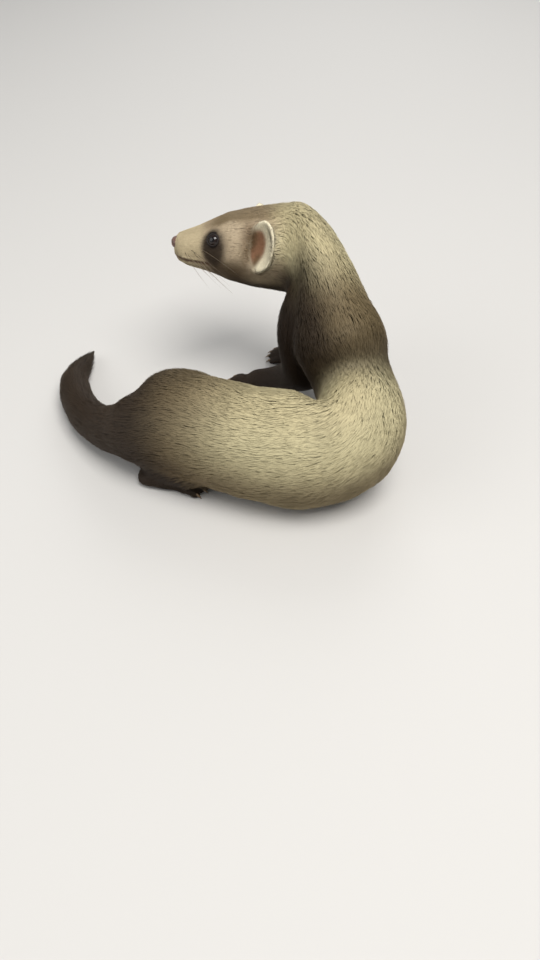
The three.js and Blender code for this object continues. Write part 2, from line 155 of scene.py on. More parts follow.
@dataclass
class BodyLine:
    """The line from the tail's tip to the skull, which places and markings are read from."""

    landmarks: tuple[Landmark, ...] = (
        Landmark("tail_tip", (-134, 14, 5)),
        Landmark("tail_brush", (-139, -16, 10)),
        Landmark("tail_middle", (-129, -46, 12)),
        Landmark("tail_root", (-110, -70, 18)),
        Landmark("rump", (-88, -79, 28)),
        Landmark("hips", (-58, -86, 34)),
        Landmark("loin", (-24, -98, 34)),
        Landmark("waist", (6, -105, 36)),
        Landmark("flank", (29.5, -96, 42)),
        Landmark("ribs", (29, -68, 57)),
        Landmark("chest", (18, -42, 76)),
        Landmark("shoulders", (9, -18, 91.5)),
        Landmark("neck", (2, -4, 94.5)),
        Landmark("skull", (-7, 2, 93)),
    )
    nose: Triple = (-66, -1, 97)
    steps: int = 24
    chord: int = 28
    batch: int = 4096
    head_length: float = 62.0
    head_roll: float = 17.0
    places: np.ndarray = field(init=False)
    rows: np.ndarray = field(init=False)

    def __post_init__(self) -> None:
        """Samples the line closely as a Catmull-Rom curve, with its directions."""
        at = np.array([mark.at for mark in self.landmarks], float)
        ends = np.vstack([2 * at[0] - at[1], at, np.array(self.nose)])
        shares = np.linspace(0, 1, self.steps, endpoint=False)[:, None]
        pieces = []
        for k in range(len(at) - 1):
            a, b, c, d = ends[k : k + 4]
            curve = 2 * b + (c - a) * shares + (2 * a - 5 * b + 4 * c - d) * shares**2
            pieces.append(0.5 * (curve + (3 * b - a - 3 * c + d) * shares**3))
        self.places = np.vstack([*pieces, at[-1:]])
        self.rows = np.arange(len(self.places)) / self.steps
        count = len(self.places)
        before = np.maximum(np.arange(count) - self.chord, 0)
        after = np.minimum(np.arange(count) + self.chord, count - 1)
        self.along = unit(self.places[after] - self.places[before])
        self.left = unit(np.cross(UPWARD, self.along))
        self.up = np.cross(self.along, self.left)

    def read(self, points: np.ndarray) -> tuple[np.ndarray, np.ndarray, np.ndarray]:
        """Places on the line of points near it.

        Args:
            points: Points in mm.

        Returns:
            The row of each point, its turn about the line in degrees (0 is the body's left, 90 its
            back and -90 its belly), and the line's direction there towards the tail.
        """
        nearest = np.empty(len(points), int)
        for start in range(0, len(points), self.batch):
            part = points[start : start + self.batch]
            gaps = ((part[:, None] - self.places[None]) ** 2).sum(2)
            nearest[start : start + self.batch] = gaps.argmin(1)
        apart = points - self.places[nearest]
        turn = np.degrees(
            np.arctan2((apart * self.up[nearest]).sum(1), (apart * self.left[nearest]).sum(1))
        )
        return self.rows[nearest], turn, -self.along[nearest]

    def head_axes(self) -> tuple[np.ndarray, np.ndarray]:
        """Where the head's frame lies.

        Returns:
            The neck's end, and the head's ahead, left and up directions as rows.
        """
        origin = np.array(self.landmarks[-1].at, float)
        ahead = unit(np.array(self.nose, float) - origin)
        left = unit(np.cross(UPWARD, ahead))
        turned = rotation_about(ahead, math.radians(self.head_roll))
        return origin, np.stack([ahead, turned @ left, turned @ np.cross(ahead, left)])

    def in_head(self, points: np.ndarray) -> np.ndarray:
        """Points in the head's frame, read from the nose.

        Args:
            points: Points in mm.

        Returns:
            Their distances behind the nose tip, to the head's left, and up.
        """
        origin, axes = self.head_axes()
        local = (points - origin) @ axes.T
        local[:, 0] = self.head_length - local[:, 0]
        return local

    def from_head(self, local: np.ndarray) -> np.ndarray:
        """Points of the head's own frame, ahead, left and up of the neck's end, in mm."""
        origin, axes = self.head_axes()
        return np.asarray(local, float) @ axes + origin


@dataclass(frozen=True)
class Leg:
    """A leg's joints from the body down, with its foot's place, heading and size."""

    name: str
    foot: str
    hind: bool
    heading: float
    toe_reach: float
    foot_at: tuple[float, float]
    joints: tuple[Triple, ...]
    toe_level: float = 3.0
    above: float = 30.0
    past_toes: float = 6.0
    aside: Triple = (0.3, 0.9, 0.3)

    def read(self, points: np.ndarray) -> tuple[np.ndarray, np.ndarray, np.ndarray]:
        """How far down the leg points are, and their turn about it.

        Args:
            points: Points in mm.

        Returns:
            The length from the first joint down to the toes, a turn in degrees, and the leg's
            direction there towards the toes.
        """
        heading = math.radians(self.heading)
        toe = (
            self.foot_at[0] + self.toe_reach * math.cos(heading),
            self.foot_at[1] + self.toe_reach * math.sin(heading),
            self.toe_level,
        )
        line = np.array([*self.joints, toe], float)
        best = np.full(len(points), np.inf)
        down, turn = np.zeros(len(points)), np.zeros(len(points))
        ahead = np.zeros((len(points), 3))
        gone = 0.0
        for a, b in zip(line, line[1:]):
            span = np.linalg.norm(b - a)
            axis = (b - a) / span
            share = np.clip((points - a) @ axis, 0, span)
            apart = points - a - share[:, None] * axis
            gap = np.linalg.norm(apart, axis=1)
            side = unit(np.cross(axis, self.aside))
            over = np.cross(axis, side)
            near = gap < best
            best[near] = gap[near]
            down[near] = gone + ((points - a) @ axis)[near].clip(-self.above, span + self.past_toes)
            turn[near] = np.degrees(np.arctan2(apart @ over, apart @ side))[near]
            ahead[near] = axis
            gone += span
        return down, turn, ahead


LEGS = (
    Leg(
        name="foreleg_left",
        foot="forefoot_left",
        hind=False,
        heading=168,
        toe_reach=20,
        foot_at=(-22, -16),
        joints=((9, -33, 77), (4, -36, 58), (8, -39, 35), (-7, -27, 20), (-22, -16, 10)),
    ),
    Leg(
        name="foreleg_right",
        foot="forefoot_right",
        hind=False,
        heading=150,
        toe_reach=20,
        foot_at=(5, 12),
        joints=((18, -21, 81), (27, -13, 62), (29, -10, 44), (17, 2, 24), (5, 12, 10)),
    ),
    Leg(
        name="hindleg_left",
        foot="hindfoot_left",
        hind=True,
        heading=4,
        toe_reach=27,
        foot_at=(-66, -50),
        joints=((-70, -74, 40), (-56, -66, 35), (-43, -59, 25), (-55, -53, 15), (-66, -50, 9)),
    ),
    Leg(
        name="hindleg_right",
        foot="hindfoot_right",
        hind=True,
        heading=-7,
        toe_reach=27,
        foot_at=(-77, -98),
        joints=((-74, -93, 36), (-58, -100, 34), (-51, -104, 22), (-65, -102, 14), (-77, -98, 9)),
    ),
)


@dataclass(frozen=True)
class Ear:
    """An ear cup's place and size, in the head's frame."""

    side: int
    behind: float = 48.0
    out: float = 24.0
    rise: float = 5.0
    roll: float = -11.0
    yaw: float = 45.0
    half_width: float = 8.75
    top: float = 15.5
    bottom: float = 14.0
    depth: float = 6.0
    bare_across: float = 4.2
    bare_up: float = 10.8
    bare_drop: float = 2.0

    def axes(self) -> np.ndarray:
        """The cup's own directions.

        Returns:
            Its outward, across and upward directions as rows, in the head's frame.
        """
        roll = Matrix.Rotation(math.radians(self.side * self.roll), 3, "X")
        yaw = Matrix.Rotation(math.radians(self.side * self.yaw), 3, "Z")
        return np.array(yaw @ roll).T

    def read(self, local: np.ndarray) -> np.ndarray:
        """Points in the cup's own frame.

        Args:
            local: Points as BodyLine.in_head gives them.

        Returns:
            How far outward, across and upward in the cup they are.
        """
        centre = np.array([self.behind, self.side * self.out, self.rise])
        apart = local - centre
        apart[:, 0] *= -1
        return apart @ self.axes().T

    def inside(
        self, line: BodyLine, points: np.ndarray, normals: np.ndarray
    ) -> tuple[np.ndarray, np.ndarray]:
        """How far out points are on the cup, and how much they face out of it.

        Args:
            line: The body line.
            points: Points in mm.
            normals: The skin's directions there.

        Returns:
            The share of the way from the middle to the rim, and the cosine with the cup's axis.
        """
        spot = self.read(line.in_head(points))
        tall = np.where(spot[:, 2] > 0, self.top, self.bottom)
        share = np.hypot(spot[:, 1] / self.half_width, spot[:, 2] / tall)
        return share, normals @ self.direction(line, 0)

    def bare(self, line: BodyLine, points: np.ndarray) -> np.ndarray:
        """How far out points are on the bare skin inside the cup.

        Args:
            line: The body line.
            points: Points in mm.

        Returns:
            A share for each, which is 1 where the bare skin ends.
        """
        _, across, upward = self.read(line.in_head(points)).T
        rear = across * self.side + self.bare_across
        return np.hypot(rear / self.bare_across, (upward + self.bare_drop) / self.bare_up)

    def direction(self, line: BodyLine, axis: int) -> np.ndarray:
        """One of the cup's axes, 0 outward, 1 across or 2 upward, in the body line's frame."""
        _, axes = line.head_axes()
        return self.axes()[axis].copy() @ axes


EARS = {"ear_left": Ear(1), "ear_right": Ear(-1)}


class Region(Enum):
    """The parts of the body that differ in coat."""

    HEAD = "head"
    EAR = "ear"
    NECK = "neck"
    TRUNK = "trunk"
    TAIL = "tail"
    LEG = "leg"
    FOOT = "foot"


REGION_OF_NODE = {
    "head": Region.HEAD,
    "ear_left": Region.EAR,
    "ear_right": Region.EAR,
    "neck": Region.NECK,
    "chest": Region.TRUNK,
    "loin": Region.TRUNK,
    "hips": Region.TRUNK,
    "tail_base": Region.TAIL,
    "tail_middle": Region.TAIL,
    "tail_tip": Region.TAIL,
    **{leg.name: Region.LEG for leg in LEGS},
    **{leg.foot: Region.FOOT for leg in LEGS},
}
FLESH = tuple(REGION_OF_NODE)
REGIONS = tuple(Region)


@dataclass(frozen=True)
class EyePlace:
    """Where an eye sits in the head's frame, and which way it looks."""

    side: int
    radius: float = 4.4
    look: Triple = (0.46, 0.84, 0.3)

    def middle(self) -> np.ndarray:
        """The eyeball's centre in the frame of the body line, from the solid's own box."""
        low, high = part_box("eye_left" if self.side > 0 else "eye_right")
        return from_row_frame((low + high) / 2)

    def gaze(self, line: BodyLine) -> np.ndarray:
        """The direction that the eye looks in.

        Args:
            line: The body line.

        Returns:
            A direction of length one in the frame of the body line.
        """
        ahead, left, up = self.look
        _, axes = line.head_axes()
        return unit(np.array([ahead, self.side * left, up]) @ axes)


EYES = {"eye_left": EyePlace(1), "eye_right": EyePlace(-1)}


# Markings and painted shade


@dataclass(frozen=True)
class Palette:
    """Colours of the coat and of painted shade, 0 to 255 a channel."""

    cream: Rgb = (192, 182, 144)
    back: Rgb = (184, 170, 131)
    # the underside's darker colour, partly painted shade
    belly: Rgb = (118, 101, 73)
    # the shoulders' brown, partly painted shade
    saddle: Rgb = (98, 82, 55)
    brown: Rgb = (90, 73, 50)
    dark: Rgb = (40, 29, 19)
    # painted shade of the flank's crease
    crease_shade: Rgb = (56, 45, 30)
    muzzle: Rgb = (192, 176, 142)
    band: Rgb = (180, 162, 134)
    brow: Rgb = (184, 166, 138)
    crown: Rgb = (120, 103, 75)
    mask: Rgb = (48, 36, 24)
    cheek: Rgb = (74, 57, 37)
    # painted shade in front of the ears
    ear_front_shade: Rgb = (98, 76, 52)
    ear_rim: Rgb = (238, 228, 198)
    ear_inside: Rgb = (134, 98, 74)
    lid: Rgb = (26, 18, 14)
    lips: Rgb = (84, 56, 46)


@dataclass(frozen=True)
class MouthLine:
    """The line between the lips, in mm of the head's frame."""

    front: float = 2.2
    corner: float = 20.0
    front_level: float = -5.2
    corner_level: float = -7.2
    droop: float = 1.5

    def gap(self, behind: np.ndarray, up: np.ndarray) -> np.ndarray:
        """How far points lie from the line.

        Args:
            behind: Their distances behind the nose tip.
            up: Their heights in the head.

        Returns:
            A distance in mm for each.
        """
        share = np.clip((behind - self.front) / (self.corner - self.front), 0, 1)
        bend = np.sin(share ** (1 / self.droop) * math.pi / 2)
        level = self.front_level + (self.corner_level - self.front_level) * bend
        return np.hypot(up - level, np.maximum(behind - self.corner, 0))


@dataclass(frozen=True)
class Patch:
    """An oval marking, by its middle and its reach in two directions."""

    colour: Rgb
    middle: tuple[float, float]
    reach: tuple[float, float]
    weight: float
    edge: Span

    def share(self, first: np.ndarray, second: np.ndarray) -> np.ndarray:
        """How strong the marking is at points.

        Args:
            first: Places in its first direction, in mm.
            second: Places in its second direction, in mm.

        Returns:
            A weight for each point.
        """
        along = (first - self.middle[0]) / self.reach[0]
        gap = np.hypot(along, (second - self.middle[1]) / self.reach[1])
        return smoothstep(gap, *self.edge)


@dataclass(frozen=True)
class HeadSpans:
    """Where the head's markings start and are full.

    Fronts and backs are in mm behind the nose tip, lows in mm of surface above the head's widest
    line, turns in degrees about the head, and lips and lids in mm from their own line or ball. A
    single share is how strongly a marking is laid on.
    """

    low_of_turn: float = 0.27
    cheek_low: Span = (1.0, -6.5)
    cheek_front: Span = (15, 24)
    cheek_back: Span = (48, 36)
    cheek: float = 0.85
    muzzle_back: Span = (19, 13)
    crown_front: Span = (14, 26)
    crown_low: Span = (12.0, 16.0)
    crown: float = 0.9
    nape_front: Span = (50, 62)
    nape_low: Span = (-4, 4)
    oval_edge: Span = (1.2, 0.7)
    throat_turn: Span = (-36, -60)
    throat_front: Span = (24, 42)
    throat: float = 0.92
    lips: Span = (1.1, 0.5)
    lips_back: float = 22.0
    lips_weight: float = 0.9
    lid: Span = (1.6, 0.6)


@dataclass(frozen=True)
class TrunkSpans:
    """Where the body's markings and its painted shade start and are full.

    Rows run along the body line, turns are degrees about it from a middle, legs are in mm down from
    the first joint, and a weight is how strongly a marking is laid on.
    """

    back_middle: float = 90.0
    back: Span = (50, 5)
    back_weight: float = 0.5
    # the belly's darkening, partly painted shade
    belly: Span = (52, 115)
    belly_weight: float = 0.8
    # the shoulders' browning, partly painted shade
    saddle_start: Span = (8.9, 9.3)
    saddle_end: Span = (10.9, 10.1)
    saddle: float = 0.92
    # the inner side's darkening: partly the dark fur of chest and forelegs, partly painted shade
    inner_middle: float = -10.0
    inner: Span = (105, 52)
    inner_start: Span = (8.6, 9.2)
    inner_end: Span = (11.5, 10.6)
    inner_weight: float = 0.92
    # where the painted shade of the flank's crease lies
    fold_row: float = 9.12
    fold_reach: float = 0.3
    fold_shade: Span = (150, 90)
    fold_weight: float = 0.85
    throat_middle: float = -60.0
    throat: Span = (85, 45)
    throat_row: Span = (9.2, 10.6)
    throat_weight: float = 0.95
    # the rump's and tail's darkening, with partly painted shadow over the hips
    rump: Span = (6.5, 4.9)
    rump_weight: float = 0.86
    tail: Span = (5.4, 4.2)
    tail_weight: float = 0.96
    hind_leg: Span = (16, 44)
    fore_leg: Span = (-8, 12)
    leg_weight: float = 0.97


@dataclass
class Markings:
    """The colour of skin and coat at any place of the body, painted shade included."""

    line: BodyLine
    palette: Palette = Palette()
    head_spans: HeadSpans = HeadSpans()
    trunk_spans: TrunkSpans = TrunkSpans()
    ear_open: Span = (0.0, 0.3)
    ear_bare: Span = (1.1, 0.85)
    ear_shade: float = 0.9
    ear_shade_edge: Span = (1.3, 0.5)

    def head(self, points: np.ndarray) -> np.ndarray:
        """Colours of the head: pale muzzle, patches at the eyes, pale band, tan crown, dark throat, and
        painted shade in front of the ears.

        Args:
            points: Points in mm.

        Returns:
            A linear colour for each point.
        """
        behind, across, up = self.line.in_head(points).T
        around = np.degrees(np.arctan2(up, np.abs(across)))
        tone, at = self.palette, self.head_spans
        low = around * at.low_of_turn
        colour = np.tile(linear(tone.band), (len(points), 1))
        under = smoothstep(low, *at.cheek_low) * smoothstep(behind, *at.cheek_front)
        under *= smoothstep(behind, *at.cheek_back)
        colour = blend(colour, linear(tone.cheek), under * at.cheek)
        colour = blend(colour, linear(tone.muzzle), smoothstep(behind, *at.muzzle_back))
        crown = smoothstep(behind, *at.crown_front) * smoothstep(low, *at.crown_low)
        colour = blend(colour, linear(tone.crown), crown * at.crown)
        back = smoothstep(behind, *at.nape_front) * smoothstep(low, *at.nape_low)
        colour = blend(colour, linear(tone.back), back)
        # Painted shade just in front of the ear, then the coat's own mask and brow
        for patch in (
            Patch(tone.ear_front_shade, (41.0, 5.0), (3.8, 9.0), 0.88, at.oval_edge),
            Patch(tone.mask, (22.0, 2.2), (6.6, 10.8), 0.97, at.oval_edge),
            Patch(tone.brow, (30.8, 12.0), (4.2, 3.4), 0.8, at.oval_edge),
        ):
            colour = blend(colour, linear(patch.colour), patch.share(behind, low) * patch.weight)
        throat = smoothstep(around, *at.throat_turn) * smoothstep(behind, *at.throat_front)
        colour = blend(colour, linear(tone.dark), throat * at.throat)
        lips = smoothstep(MouthLine().gap(behind, up), *at.lips) * (behind < at.lips_back)
        colour = blend(colour, linear(tone.lips), lips * at.lips_weight)
        for eye in EYES.values():
            gap = np.linalg.norm(points - eye.middle(), axis=1)
            rim = smoothstep(gap, eye.radius + at.lid[0], eye.radius + at.lid[1])
            colour = blend(colour, linear(tone.lid), rim)
        return colour

    def ear(self, points: np.ndarray, normals: np.ndarray, ear: Ear) -> np.ndarray:
        """Colours of an ear: pale rim and back, brownish pink inside, and painted shade at the cup's
        front and in its notch.

        Args:
            points: Points in mm.
            normals: The skin's directions there.
            ear: The ear that they are on.

        Returns:
            A linear colour for each point.
        """
        _, facing = ear.inside(self.line, points, normals)
        _, across, upward = ear.read(self.line.in_head(points)).T
        tone = self.palette
        colour = np.tile(linear(tone.ear_rim), (len(points), 1))
        open_side = smoothstep(facing, *self.ear_open)
        inside = smoothstep(ear.bare(self.line, points), *self.ear_bare)
        colour = blend(colour, linear(tone.ear_inside), inside * open_side)
        weight, edge = self.ear_shade, self.ear_shade_edge
        # Painted shade in the cup's opening: along its front edge and in its notch
        for patch in (
            Patch(tone.brown, (-7.2, 2.0), (2.0, 7.5), weight, edge),
            Patch(tone.brown, (-2.6, -9.2), (1.5, 4.4), weight, edge),
        ):
            shade = patch.share(across * ear.side, upward) * open_side
            colour = blend(colour, linear(patch.colour), shade * patch.weight)
        return colour

    def trunk(self, points: np.ndarray) -> np.ndarray:
        """Colours of body, neck and tail: cream, browner to the shoulders, dark to the tail, with
        painted shade in the flank's crease and partly painted shade on the shoulders, the inner side,
        the belly and the hips.

        Args:
            points: Points in mm.

        Returns:
            A linear colour for each point.
        """
        row, turn, _ = self.line.read(points)
        tone, at = self.palette, self.trunk_spans
        over = self.turn_gap(turn, at.back_middle)
        colour = np.tile(linear(tone.cream), (len(points), 1))
        colour = blend(colour, linear(tone.back), smoothstep(over, *at.back) * at.back_weight)
        # Darker towards the belly: partly browner belly fur, partly painted shade on the underside
        colour = blend(colour, linear(tone.belly), smoothstep(over, *at.belly) * at.belly_weight)
        # Browner shoulders: partly the coat's own saddle, partly painted shade
        shoulders = smoothstep(row, *at.saddle_start) * smoothstep(row, *at.saddle_end)
        colour = blend(colour, linear(tone.saddle), shoulders * at.saddle)
        # Darker on the inner side of the curl: partly the dark fur of chest and forelegs, partly
        # painted shade
        inner = smoothstep(self.turn_gap(turn, at.inner_middle), *at.inner)
        inner *= smoothstep(row, *at.inner_start) * smoothstep(row, *at.inner_end)
        colour = blend(colour, linear(tone.dark), inner * at.inner_weight)
        # Painted shade: a dark band along the crease where the body folds at the flank
        fold_shade = np.exp(-(((row - at.fold_row) / at.fold_reach) ** 2)) * smoothstep(over, *at.fold_shade)
        colour = blend(colour, linear(tone.crease_shade), fold_shade * at.fold_weight)
        throat = smoothstep(self.turn_gap(turn, at.throat_middle), *at.throat)
        throat = throat * smoothstep(row, *at.throat_row)
        colour = blend(colour, linear(tone.dark), throat * at.throat_weight)
        # Browner to the rump and dark to the tail, as the coat is, with partly painted shadow over the
        # hips
        colour = blend(colour, linear(tone.brown), smoothstep(row, *at.rump) * at.rump_weight)
        return blend(colour, linear(tone.dark), smoothstep(row, *at.tail) * at.tail_weight)

    def turn_gap(self, turn: np.ndarray, middle: float) -> np.ndarray:
        """Degrees between turns about the body and a middle."""
        return np.abs((turn - middle + HALF_TURN) % TURN - HALF_TURN)

    def leg(self, points: np.ndarray, leg: Leg) -> np.ndarray:
        """Colours of a leg: the body's at the top, dark from the elbow or knee down.

        Args:
            points: Points in mm.
            leg: The leg that they are on.

        Returns:
            A linear colour for each point.
        """
        down, _, _ = leg.read(points)
        at = self.trunk_spans
        dark = smoothstep(down, *(at.hind_leg if leg.hind else at.fore_leg)) * at.leg_weight
        return blend(self.trunk(points), linear(self.palette.dark), dark)


# The skin


def in_region(numbers: np.ndarray, region: Region) -> np.ndarray:
    """Which of the numbers of regions are that of one region."""
    return numbers == REGIONS.index(region)


def on_node(numbers: np.ndarray, name: str) -> np.ndarray:
    """Which of the numbers of flesh nodes are that of one node."""
    return numbers == FLESH.index(name)


@dataclass
class SkinFields:
    """What is known at each vertex of the skin, in mm in the body line's frame."""

    points: np.ndarray
    normals: np.ndarray
    triangles: np.ndarray
    edges: np.ndarray
    region: np.ndarray
    node: np.ndarray
    lie: np.ndarray = field(init=False)
    colour: np.ndarray = field(init=False)
    depth: np.ndarray = field(init=False)
    sheet: np.ndarray = field(init=False)

    def soften(self, values: np.ndarray, rounds: int, keep: float = 0.4) -> np.ndarray:
        """A field averaged with its neighbours a number of times.

        Args:
            values: A value or a row of values for each vertex.
            rounds: How many times.
            keep: The share of a vertex's own value that stays each time.

        Returns:
            The softer field.
        """
        made = values.astype(float).copy()
        a, b = self.edges.T
        count = len(self.points)
        share = np.maximum(np.bincount(a, minlength=count) + np.bincount(b, minlength=count), 1)
        columns = made.reshape(count, -1)
        for _ in range(rounds):
            for k in range(columns.shape[1]):
                value = columns[:, k]
                total = np.bincount(a, value[b], count) + np.bincount(b, value[a], count)
                columns[:, k] = keep * value + (1 - keep) * total / share
        return columns.reshape(made.shape)


@dataclass(frozen=True)
class CoatDepths:
    """How deep the coat lies over the skin, in mm, and where it grows deeper.

    A pair of depths is what it is at the start of the part's span, and what it gains along it.
    """

    trunk: float = 5.0
    neck: float = 4.4
    tail: tuple[float, float] = (1.0, 4.2)
    tail_span: Span = (0.0, 1.0)
    head: tuple[float, float] = (0.35, 4.0)
    head_span: Span = (22, 62)
    ear: float = 0.2
    foot: float = 0.45
    leg: tuple[float, float] = (4.8, -3.4)
    hind_span: Span = (18, 58)
    fore_span: Span = (18, 52)


@dataclass(frozen=True)
class Unwrap:
    """Where each part of the skin lies on the unwrap, in shares of its side."""

    edge: float = 0.02
    least: float = 0.004
    body: tuple[float, float] = (0.96, 0.42)
    rows: float = 13.0
    head: tuple[float, float] = (0.4, 0.2)
    head_at: float = 0.5
    head_length: float = 66.0
    ear_at: tuple[float, float] = (0.5, 0.55)
    ear_apart: float = 0.1
    ear_size: float = 0.045
    ear_length: float = 16.0
    leg: tuple[float, float] = (0.4, 0.055)
    leg_at: float = 0.72
    leg_apart: float = 0.065
    leg_start: float = 30.0
    leg_length: float = 150.0

    def round(self, angle: np.ndarray) -> np.ndarray:
        """Angles from -180 to 180 degrees as shares of a turn."""
        return (angle + HALF_TURN) / TURN


@dataclass
class Skin:
    """One skin over all the flesh, without a seam, inside the solids by the coat's depth."""

    line: BodyLine
    markings: Markings
    merge: float = 0.01
    grown: float = 0.35
    voxel: float = 1.2
    smoothing: float = 0.5
    body_smoothing: int = 24
    skull_smoothing: int = 90
    ear_smoothing: tuple[float, int] = (0.4, 4)
    face_smoothing: tuple[float, int] = (0.3, 1)
    face_reach: float = 32.0
    face_blend: float = 6.0
    socket_gap: float = 0.1
    lid_turn: float = 0.08
    lid_reach: Span = (3.2, 0.8)
    lid_angle: float = 1.5
    snap_reach: float = 1.4
    floor_clear: float = 0.35
    rim_lift: float = 0.8
    rim_curve: float = 2.2
    nape: Span = (50, 63)
    hind_free: Span = (14, 46)
    fore_free: Span = (-4, 26)
    fall: float = 0.5
    lie_rounds: int = 24
    depth_rounds: int = 18
    colour_rounds: int = 2
    inward_rounds: int = 6
    normal_rounds: int = 3
    depths: CoatDepths = CoatDepths()
    unwrap: Unwrap = Unwrap()
    fields: SkinFields = field(init=False)

    def flesh(self) -> bpy.types.Mesh:
        """All flesh solids, each grown a little so that they meet.

        Returns:
            One mesh with all of them.
        """
        made = bmesh.new()
        for name in FLESH:
            part = bmesh.new()
            part.from_mesh(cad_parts[name].data)
            bmesh.ops.remove_doubles(part, verts=part.verts, dist=self.merge * MM)
            part.normal_update()
            for vertex in part.verts:
                vertex.co += vertex.normal * self.grown * MM
            spare = bpy.data.meshes.new("spare")
            part.to_mesh(spare)
            part.free()
            made.from_mesh(spare)
            bpy.data.meshes.remove(spare)
        mesh = bpy.data.meshes.new("flesh")
        made.to_mesh(mesh)
        made.free()
        return mesh

    def remeshed(self, mesh: bpy.types.Mesh) -> bpy.types.Mesh:
        """One even closed surface of small quads round a mesh.

        Args:
            mesh: The mesh, which is removed.

        Returns:
            The new mesh.
        """
        made = bpy.data.objects.new("flesh", mesh)
        bpy.context.scene.collection.objects.link(made)
        modifier = made.modifiers.new("even", "REMESH")
        modifier.mode = "VOXEL"
        modifier.voxel_size = self.voxel * MM
        graph = bpy.context.evaluated_depsgraph_get()
        even = bpy.data.meshes.new_from_object(made.evaluated_get(graph))
        bpy.data.objects.remove(made)
        bpy.data.meshes.remove(mesh)
        return even

    def solids_tree(self) -> tuple[BVHTree, list[str]]:
        """The flesh solids, ready for searches.

        Returns:
            A tree of their triangles, and the node of each triangle.
        """
        points, faces, owners = [], [], []
        for name in FLESH:
            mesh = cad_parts[name].data
            start = len(points)
            points.extend(vertex.co.copy() for vertex in mesh.vertices)
            faces.extend([start + k for k in face.vertices] for face in mesh.polygons)
            owners.extend([name] * len(mesh.polygons))
        return BVHTree.FromPolygons(points, faces), owners

    def shaped(self, mesh: bpy.types.Mesh) -> bpy.types.Mesh:
        """The even surface with the solids' facets smoothed and the face made finer.

        Args:
            mesh: The even surface.

        Returns:
            The same mesh, changed.
        """
        shape = bmesh.new()
        shape.from_mesh(mesh)
        tree, owners = self.solids_tree()
        groups = self.grouped(shape, tree, owners)
        body = groups[Region.TRUNK] + groups[Region.NECK] + groups[Region.LEG] + groups[Region.TAIL]
        face, skull = self.face_and_skull(groups[Region.HEAD])
        self.smooth(shape, body, self.smoothing, self.body_smoothing)
        self.smooth(shape, skull, self.smoothing, self.skull_smoothing)
        self.smooth(shape, groups[Region.EAR], *self.ear_smoothing)
        front = set(face)
        edges = [edge for edge in shape.edges if all(vertex in front for vertex in edge.verts)]
        bmesh.ops.subdivide_edges(shape, edges=edges, cuts=1, use_grid_fill=True)
        bmesh.ops.triangulate(shape, faces=[side for side in shape.faces if len(side.verts) > 4])
        finer, _ = self.face_and_skull(self.grouped(shape, tree, owners)[Region.HEAD])
        local = self.line.in_head(self.places_of(finer))
        pull = smoothstep(local[:, 0], self.face_reach, self.face_reach - self.face_blend)
        for vertex, share in zip(finer, pull):
            spot, _, _, gap = tree.find_nearest(vertex.co)
            if gap < self.snap_reach * MM:
                vertex.co = vertex.co.lerp(spot, share)
        self.smooth(shape, finer, *self.face_smoothing)
        shape.to_mesh(mesh)
        shape.free()
        return mesh

    def grouped(
        self, shape: bmesh.types.BMesh, tree: BVHTree, owners: list[str]
    ) -> dict[Region, list[bmesh.types.BMVert]]:
        """The vertices by the region of the solid that each is nearest to.

        Args:
            shape: The skin's bmesh.
            tree: The solids' triangles.
            owners: The node of each triangle.

        Returns:
            A list of vertices for each region.
        """
        groups: dict[Region, list[bmesh.types.BMVert]] = {region: [] for region in Region}
        for vertex in shape.verts:
            _, _, index, _ = tree.find_nearest(vertex.co)
            groups[REGION_OF_NODE[owners[index]]].append(vertex)
        return groups

    def face_and_skull(self, heads: list) -> tuple[list, list]:
        """The head's vertices in two lists.

        Args:
            heads: The vertices nearest to the head's solid.

        Returns:
            Those of the face, and those behind it.
        """
        local = self.line.in_head(self.places_of(heads))
        face = [vertex for vertex, spot in zip(heads, local) if spot[0] <= self.face_reach]
        skull = [vertex for vertex, spot in zip(heads, local) if spot[0] > self.face_reach]
        return face, skull

    def smooth(self, shape: bmesh.types.BMesh, vertices: list, factor: float, rounds: int) -> None:
        """Smooths vertices a number of times.

        Args:
            shape: The skin's bmesh.
            vertices: The vertices to move.
            factor: How far each goes towards the middle of its neighbours.
            rounds: How many times.
        """
        for _ in range(rounds):
            bmesh.ops.smooth_vert(
                shape,
                verts=vertices,
                factor=factor,
                use_axis_x=True,
                use_axis_y=True,
                use_axis_z=True,
            )

    def places_of(self, vertices: list[bmesh.types.BMVert]) -> np.ndarray:
        """Where vertices are, in mm in the frame of the body line."""
        return from_row_frame(np.array([tuple(vertex.co) for vertex in vertices]).reshape(-1, 3))

    def read_fields(self, mesh: bpy.types.Mesh) -> SkinFields:
        """What the coat and the markings need at each vertex.

        Args:
            mesh: The skin at the solids' surface.

        Returns:
            The fields, with lie, depth, colours and the unwrap.
        """
        points, normals, triangles = mesh_arrays(mesh)
        edges = np.empty(len(mesh.edges) * 2, np.int32)
        mesh.edges.foreach_get("vertices", edges)
        tree, owners = self.solids_tree()
        nearest = [owners[tree.find_nearest(vertex.co)[2]] for vertex in mesh.vertices]
        node = np.array([FLESH.index(name) for name in nearest], int)
        region = np.array([REGIONS.index(REGION_OF_NODE[name]) for name in FLESH])[node]
        made = SkinFields(points, normals, triangles, edges.reshape(-1, 2), region, node)
        self.lay(made)
        return made

